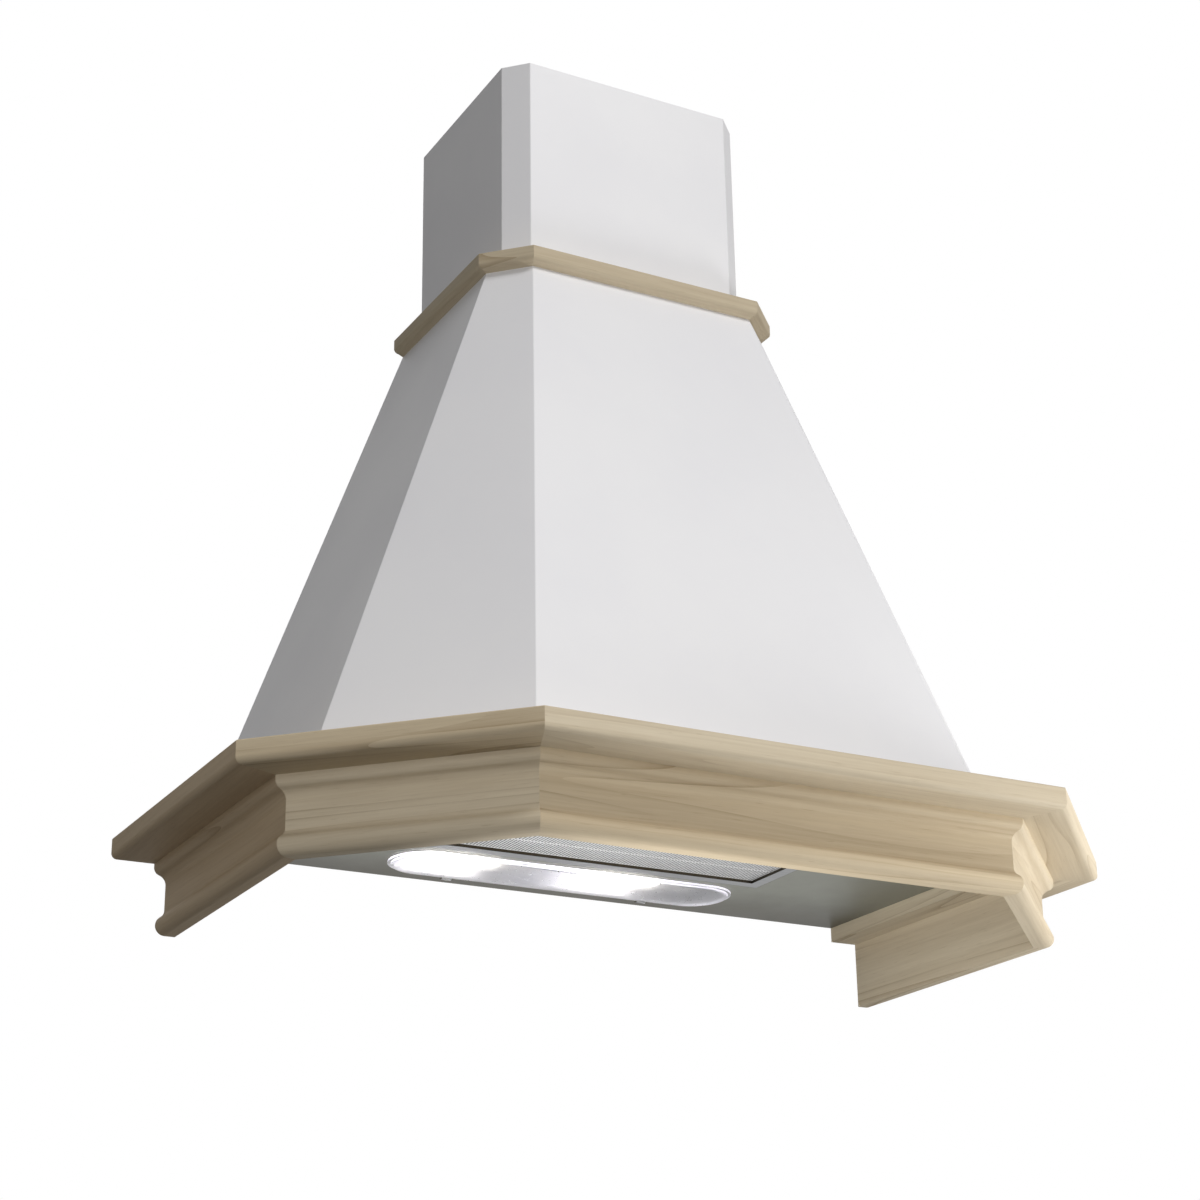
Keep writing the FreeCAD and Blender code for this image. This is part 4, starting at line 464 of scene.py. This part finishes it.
def other_finishes():
    return {
        "dowel": timber("beech dowel", 90, (1.0, 2.0, 3.0), *BEECH),
        "enamel": hazed("white enamel", colour(238, 237, 238), colour(235, 234, 236), size=5.0, rough=0.5,
                        spread=0.03, relief=0.05),
        "panel": panel_finish(),
        "galvanised": galvanised_finish(),
        "zinc": brushed("zinc-plated steel", colour(206, 207, 210), colour(170, 172, 176),
                        lines=(300, 300, 300), rough=0.3),
        "aluminium": brushed("filter aluminium", **ROLLED_ALUMINIUM),
        "rim": rim_finish(),
        "mesh": hazed("bright mesh sheet", colour(240, 240, 240), colour(226, 226, 227), size=300.0,
                      rough=0.36, spread=0.06, relief=0.2),
        # Painted shade: the slots' walls are the sheet's metal darkened for the shade inside the slots.
        "slot": hazed("shaded walls of the slots", colour(158, 158, 158), colour(140, 140, 141), size=300.0,
                      rough=0.5, spread=0.06, relief=0.2),
        "wire": wire_wool_finish(),
        "reflector": brushed("satin reflector", colour(206, 206, 212), colour(190, 190, 197),
                             lines=(12.0, 500.0, 500.0), rough=0.36, relief=0.05),
        "latch": hazed("latch plastic", colour(120, 122, 122), colour(108, 110, 110), size=60.0, rough=0.45),
        "ceramic": hazed("glazed ceramic", colour(232, 230, 222), colour(222, 219, 210), size=90.0,
                         rough=0.18, spread=0.03),
        "control": hazed("control plate plastic", colour(150, 151, 146), colour(142, 143, 138), size=60.0,
                         rough=0.5),
        "black": hazed("black moulded plastic", colour(44, 44, 46), colour(36, 36, 38), size=40.0,
                       rough=0.55, spread=0.08, relief=0.3),
        "wheel": hazed("fan plastic", colour(66, 66, 69), colour(56, 56, 59), size=40.0, rough=0.5,
                       spread=0.08, relief=0.3),
        "motor": hazed("motor paint", colour(84, 87, 92), colour(70, 73, 78), size=50.0, rough=0.45,
                       spread=0.08, relief=0.3),
        "brass": brushed("plain brass", colour(208, 172, 98), colour(178, 142, 74), lines=(300, 300, 300),
                         rough=0.3),
        "clear": clear_cover_finish(),
        "bulb": bulb_glass_finish(),
    }


TIMBER_FINISHES = timber_finishes()
FINISHES = other_finishes()

# How the names of each finish's nodes start. The first start that fits a name counts, so a start that
# another one begins with comes after it.
FINISH_STARTS = {
    "dowel": ("frame_dowels",),
    "zinc": ("frame_screws", "collar_screws", "bracket_screws", "chimney_screws", "blower_screws",
             "latch_spring", "flap_pin", "motor_shaft"),
    "enamel": ("canopy_shell", "lower_chimney", "upper_chimney"),
    "panel": ("bottom_panel", "cover_hinges"),
    "galvanised": ("canopy_back_plate", "chimney_bracket", "blower_hangers", "control_box"),
    "rim": ("filter_frame",),
    "aluminium": ("filter_mesh", "capacitor"),
    "wire": ("filter_core",),
    "latch": ("filter_latch",),
    "clear": ("lamp_cover",),
    "reflector": ("lamp_tray",),
    "ceramic": ("lampholder", "terminal_block"),
    "bulb": ("bulb_",),
    "control": ("control_plate",),
    "brass": ("impeller_nut",),
    "wheel": ("impeller", "flap_"),
    "motor": ("motor",),
}


def finish_for(name):
    """Finish of a node: a timber piece's own one, else by the start of its name, else black plastic."""
    if name in TIMBER_FINISHES:
        return TIMBER_FINISHES[name]
    for finish, starts in FINISH_STARTS.items():
        if name.startswith(starts):
            return FINISHES[finish]
    return FINISHES["black"]


def dress_nodes():
    for name, piece in NODES.items():
        material = finish_for(name)
        if not piece.material_slots:
            piece.data.materials.append(material)
        for slot in piece.material_slots:
            slot.material = material


# ---------------------------------------------------------------- pieces finer than their solids

def box_of(name):
    """Lowest and highest corner of a node."""
    piece = NODES[name]
    corners = [piece.matrix_world @ Vector(corner) for corner in piece.bound_box]
    return (Vector(min(corner[k] for corner in corners) for k in range(3)),
            Vector(max(corner[k] for corner in corners) for k in range(3)))


def finished_mesh(name, shape):
    """Make the faces' sides agree and keep the shape as a mesh."""
    bmesh.ops.recalc_face_normals(shape, faces=shape.faces)
    mesh = bpy.data.meshes.new(name)
    shape.to_mesh(mesh)
    shape.free()
    return mesh


def made_piece(name, mesh, materials, body, *nodes):
    """Put a finished mesh in the scene in place of the nodes that it stands for."""
    piece = bpy.data.objects.new(name, mesh)
    bpy.context.scene.collection.objects.link(piece)
    for material in materials:
        mesh.materials.append(material)
    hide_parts(*nodes)
    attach(piece, body)
    return piece


SLOT_PITCH_X = 0.0034           # rounded so that whole slots fill the sheet
SLOT_PITCH_Y = 0.034
SLOT_WIDE = 0.46                # share of the pitch that is open
SLOT_LONG = 0.94
SHEET_BORDER = 0.0125           # plain edge of the sheet, held in the filter's rim
RECTANGLE = ((1, 1), (-1, 1), (-1, -1), (1, -1))


def slot_cell(sheet, x, y, low_z, high_z, cell, slot):
    """One slot: the sheet round it, out to half a pitch, and the slot's own walls."""
    rings = [[sheet.verts.new((x + dx * reach_x, y + dy * reach_y, z)) for dx, dy in RECTANGLE]
             for (reach_x, reach_y), z in ((cell, low_z), (slot, low_z), (slot, high_z))]
    for material_index in range(2):
        first, second = rings[material_index], rings[material_index + 1]
        for k in range(4):
            n = (k + 1) % 4
            face = sheet.faces.new((first[k], first[n], second[n], second[k]))
            face.material_index = material_index


def slotted_sheet():
    """Lower sheet of the filter: rows of long slots in a plain border."""
    low, high = box_of("filter_mesh")
    left, right = low.x + SHEET_BORDER, high.x - SHEET_BORDER
    front, rear = low.y + SHEET_BORDER, high.y - SHEET_BORDER
    columns = round((right - left) / SLOT_PITCH_X)
    rows = round((rear - front) / SLOT_PITCH_Y)
    half_x = (right - left) / columns / 2
    half_y = (rear - front) / rows / 2
    sheet = bmesh.new()
    for row in range(rows):
        for column in range(columns):
            slot_cell(sheet, left + (2 * column + 1) * half_x, front + (2 * row + 1) * half_y,
                      low.z, high.z, (half_x, half_y), (half_x * SLOT_WIDE, half_y * SLOT_LONG))
    for x0, x1, y0, y1 in ((low.x, high.x, low.y, front), (low.x, high.x, rear, high.y),
                           (low.x, left, front, rear), (right, high.x, front, rear)):
        corners = (x0, y0), (x0, y1), (x1, y1), (x1, y0)
        sheet.faces.new([sheet.verts.new((x, y, low.z)) for x, y in corners])
    made_piece("filter_slotted_sheet", finished_mesh("filter sheet", sheet),
               [FINISHES["mesh"], FINISHES["slot"]], "filter", "filter_mesh")


# Outlines along the bulb's axis, from the cap's foot to the glass's tip: (share of the cap's or the
# glass's length, share of the glass's radius).
CONTACT_OUTLINE = ((0.0, 0.0), (0.0, 0.2), (0.08, 0.24), (0.12, 0.36))
GLASS_OUTLINE = ((0.0, 0.46), (0.06, 0.58), (0.12, 0.72), (0.2, 0.87), (0.27, 0.95), (0.33, 0.99),
                 (0.4, 1.0), (0.5, 0.95), (0.58, 0.89), (0.68, 0.75), (0.76, 0.62), (0.84, 0.45),
                 (0.9, 0.33), (0.95, 0.22), (0.985, 0.1), (1.0, 0.0))
CAP_SHARE = 20 / 102            # of the bulb's length
THREAD_FROM = 0.14              # share of the cap's length
THREAD_LONG = 0.8
THREAD_WIDE = 0.4               # share of the glass's radius
CAP_RIM_WIDE = 0.42
THREAD_TURNS = 6
THREAD_DEPTH = 0.0007
STEPS_PER_TURN = 4
TURNED_SIDES = 40


def cap_outline(length, radius):
    """Points (along, width) of the threaded cap: its contact, the thread's ridges and its rim."""
    points = [(length * along, radius * width) for along, width in CONTACT_OUTLINE]
    steps = THREAD_TURNS * STEPS_PER_TURN
    for k in range(steps + 1):
        ridge = THREAD_DEPTH * (0.5 + 0.5 * math.cos(2 * math.pi * k / STEPS_PER_TURN))
        points.append((length * (THREAD_FROM + THREAD_LONG * k / steps),
                       radius * THREAD_WIDE - THREAD_DEPTH + ridge))
    return points + [(length, radius * CAP_RIM_WIDE)]


def turned_piece(outline, foot, cap_points):
    """Turn an outline about the line that runs from its foot towards -X; the cap is material 1."""
    turned = bmesh.new()
    angles = [2 * math.pi * k / TURNED_SIDES for k in range(TURNED_SIDES)]
    rings = []
    for along, width in outline:
        places = [Vector((-along, width * math.cos(angle), width * math.sin(angle)))
                  for angle in (angles if width > 0 else [0.0])]
        rings.append([turned.verts.new(foot + place) for place in places])
    for index, (first, second) in enumerate(zip(rings, rings[1:])):
        for k in range(TURNED_SIDES):
            n = (k + 1) % TURNED_SIDES
            corners = [first[k], first[n]] if len(first) > 1 else list(first)
            corners += [second[n], second[k]] if len(second) > 1 else second
            face = turned.faces.new(corners)
            face.material_index = 1 if index + 1 < cap_points else 0
            face.smooth = True
    return turned


def bulb_piece(side):
    """Candle bulb along X: turned glass, and a threaded cap in its holder."""
    node_name = "bulb_" + side
    low, high = box_of(node_name)
    centre = (low + high) / 2
    radius = (high.y - low.y) / 2
    cap_length = CAP_SHARE * (high.x - low.x)
    glass_length = high.x - low.x - cap_length
    cap = cap_outline(cap_length, radius)
    glass = [(cap_length + glass_length * along, radius * width) for along, width in GLASS_OUTLINE]
    foot = Vector((high.x, centre.y, centre.z))
    made_piece("candle_" + node_name, finished_mesh(node_name, turned_piece(cap + glass, foot, len(cap))),
               [FINISHES["bulb"], FINISHES["brass"]], "hood", node_name)


def latch_leaf_spring():
    """Leaf spring behind the latch, copied into a piece of its own on the filter."""
    leaf = NODES["latch_spring"]
    piece = made_piece("latch_leaf_spring", leaf.data.copy(), [], "filter", "latch_spring")
    piece.matrix_world = leaf.matrix_world
    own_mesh(piece)


# ---------------------------------------------------------------- studio

AMBIENT = 0.04                  # strength of the light from all round
FLOOR_HEIGHT = -2.0
FLOOR_SIZE = 14.0
FLOOR_GLOW = 0.45               # added for the camera and for gloss, so that the floor fades into the white
FLOOR_PAINT = colour(232, 232, 232)
FLOOR_BOUNCE = colour(128, 128, 128)


def white_background():
    """White for the camera, gloss and glass; a plain dim level for everything else."""
    world = bpy.data.worlds.new("studio")
    bpy.context.scene.world = world
    world.use_nodes = True
    tree = world.node_tree
    tree.nodes.clear()
    rays = node(tree, "LightPath", {})
    seen = maths(tree, "MAXIMUM", rays["Is Camera Ray"],
                 maths(tree, "MAXIMUM", rays["Is Glossy Ray"], rays["Is Transmission Ray"]))
    plain = node(tree, "Background", {"Color": WHITE, "Strength": AMBIENT})[0]
    white = node(tree, "Background", {"Color": WHITE, "Strength": 1.0})[0]
    mix = node(tree, "MixShader", {0: seen, 1: plain, 2: white})[0]
    node(tree, "OutputWorld", {"Surface": mix})


def floor_material():
    """Pale matt floor that glows for the camera and gloss, is dim to other rays and clear from below."""
    material = bpy.data.materials.new("pale floor")
    material.use_nodes = True
    tree = material.node_tree
    tree.nodes.clear()
    rays = node(tree, "LightPath", {})
    matt = node(tree, "BsdfDiffuse", {"Color": FLOOR_PAINT})[0]
    dim = node(tree, "BsdfDiffuse", {"Color": FLOOR_BOUNCE})[0]
    glow = node(tree, "Emission", {"Color": WHITE, "Strength": FLOOR_GLOW})[0]
    lit = node(tree, "AddShader", {0: matt, 1: glow})[0]
    bright = maths(tree, "MAXIMUM", rays["Is Camera Ray"], rays["Is Glossy Ray"])
    seen = node(tree, "MixShader", {0: bright, 1: dim, 2: lit})[0]
    below = node(tree, "NewGeometry", {})["Backfacing"]
    clear = node(tree, "BsdfTransparent", {})[0]
    whole = node(tree, "MixShader", {0: below, 1: seen, 2: clear})[0]
    node(tree, "OutputMaterial", {"Surface": whole})
    return material


def floor():
    """Floor that fades into the white background and keeps the object's shadow."""
    mesh = bpy.data.meshes.new("floor")
    half = FLOOR_SIZE / 2
    mesh.from_pydata([(-half, -half, FLOOR_HEIGHT), (half, -half, FLOOR_HEIGHT),
                      (half, half, FLOOR_HEIGHT), (-half, half, FLOOR_HEIGHT)], [], [(0, 1, 2, 3)])
    mesh.materials.append(floor_material())
    slab = bpy.data.objects.new("floor", mesh)
    bpy.context.scene.collection.objects.link(slab)


# ---------------------------------------------------------------- build

make_camera()
bpy.context.scene.view_settings.view_transform = "Standard"
white_background()
floor()
lights()
dress_nodes()
slotted_sheet()
latch_leaf_spring()
for bulb_side in ("left", "right"):
    bulb_piece(bulb_side)
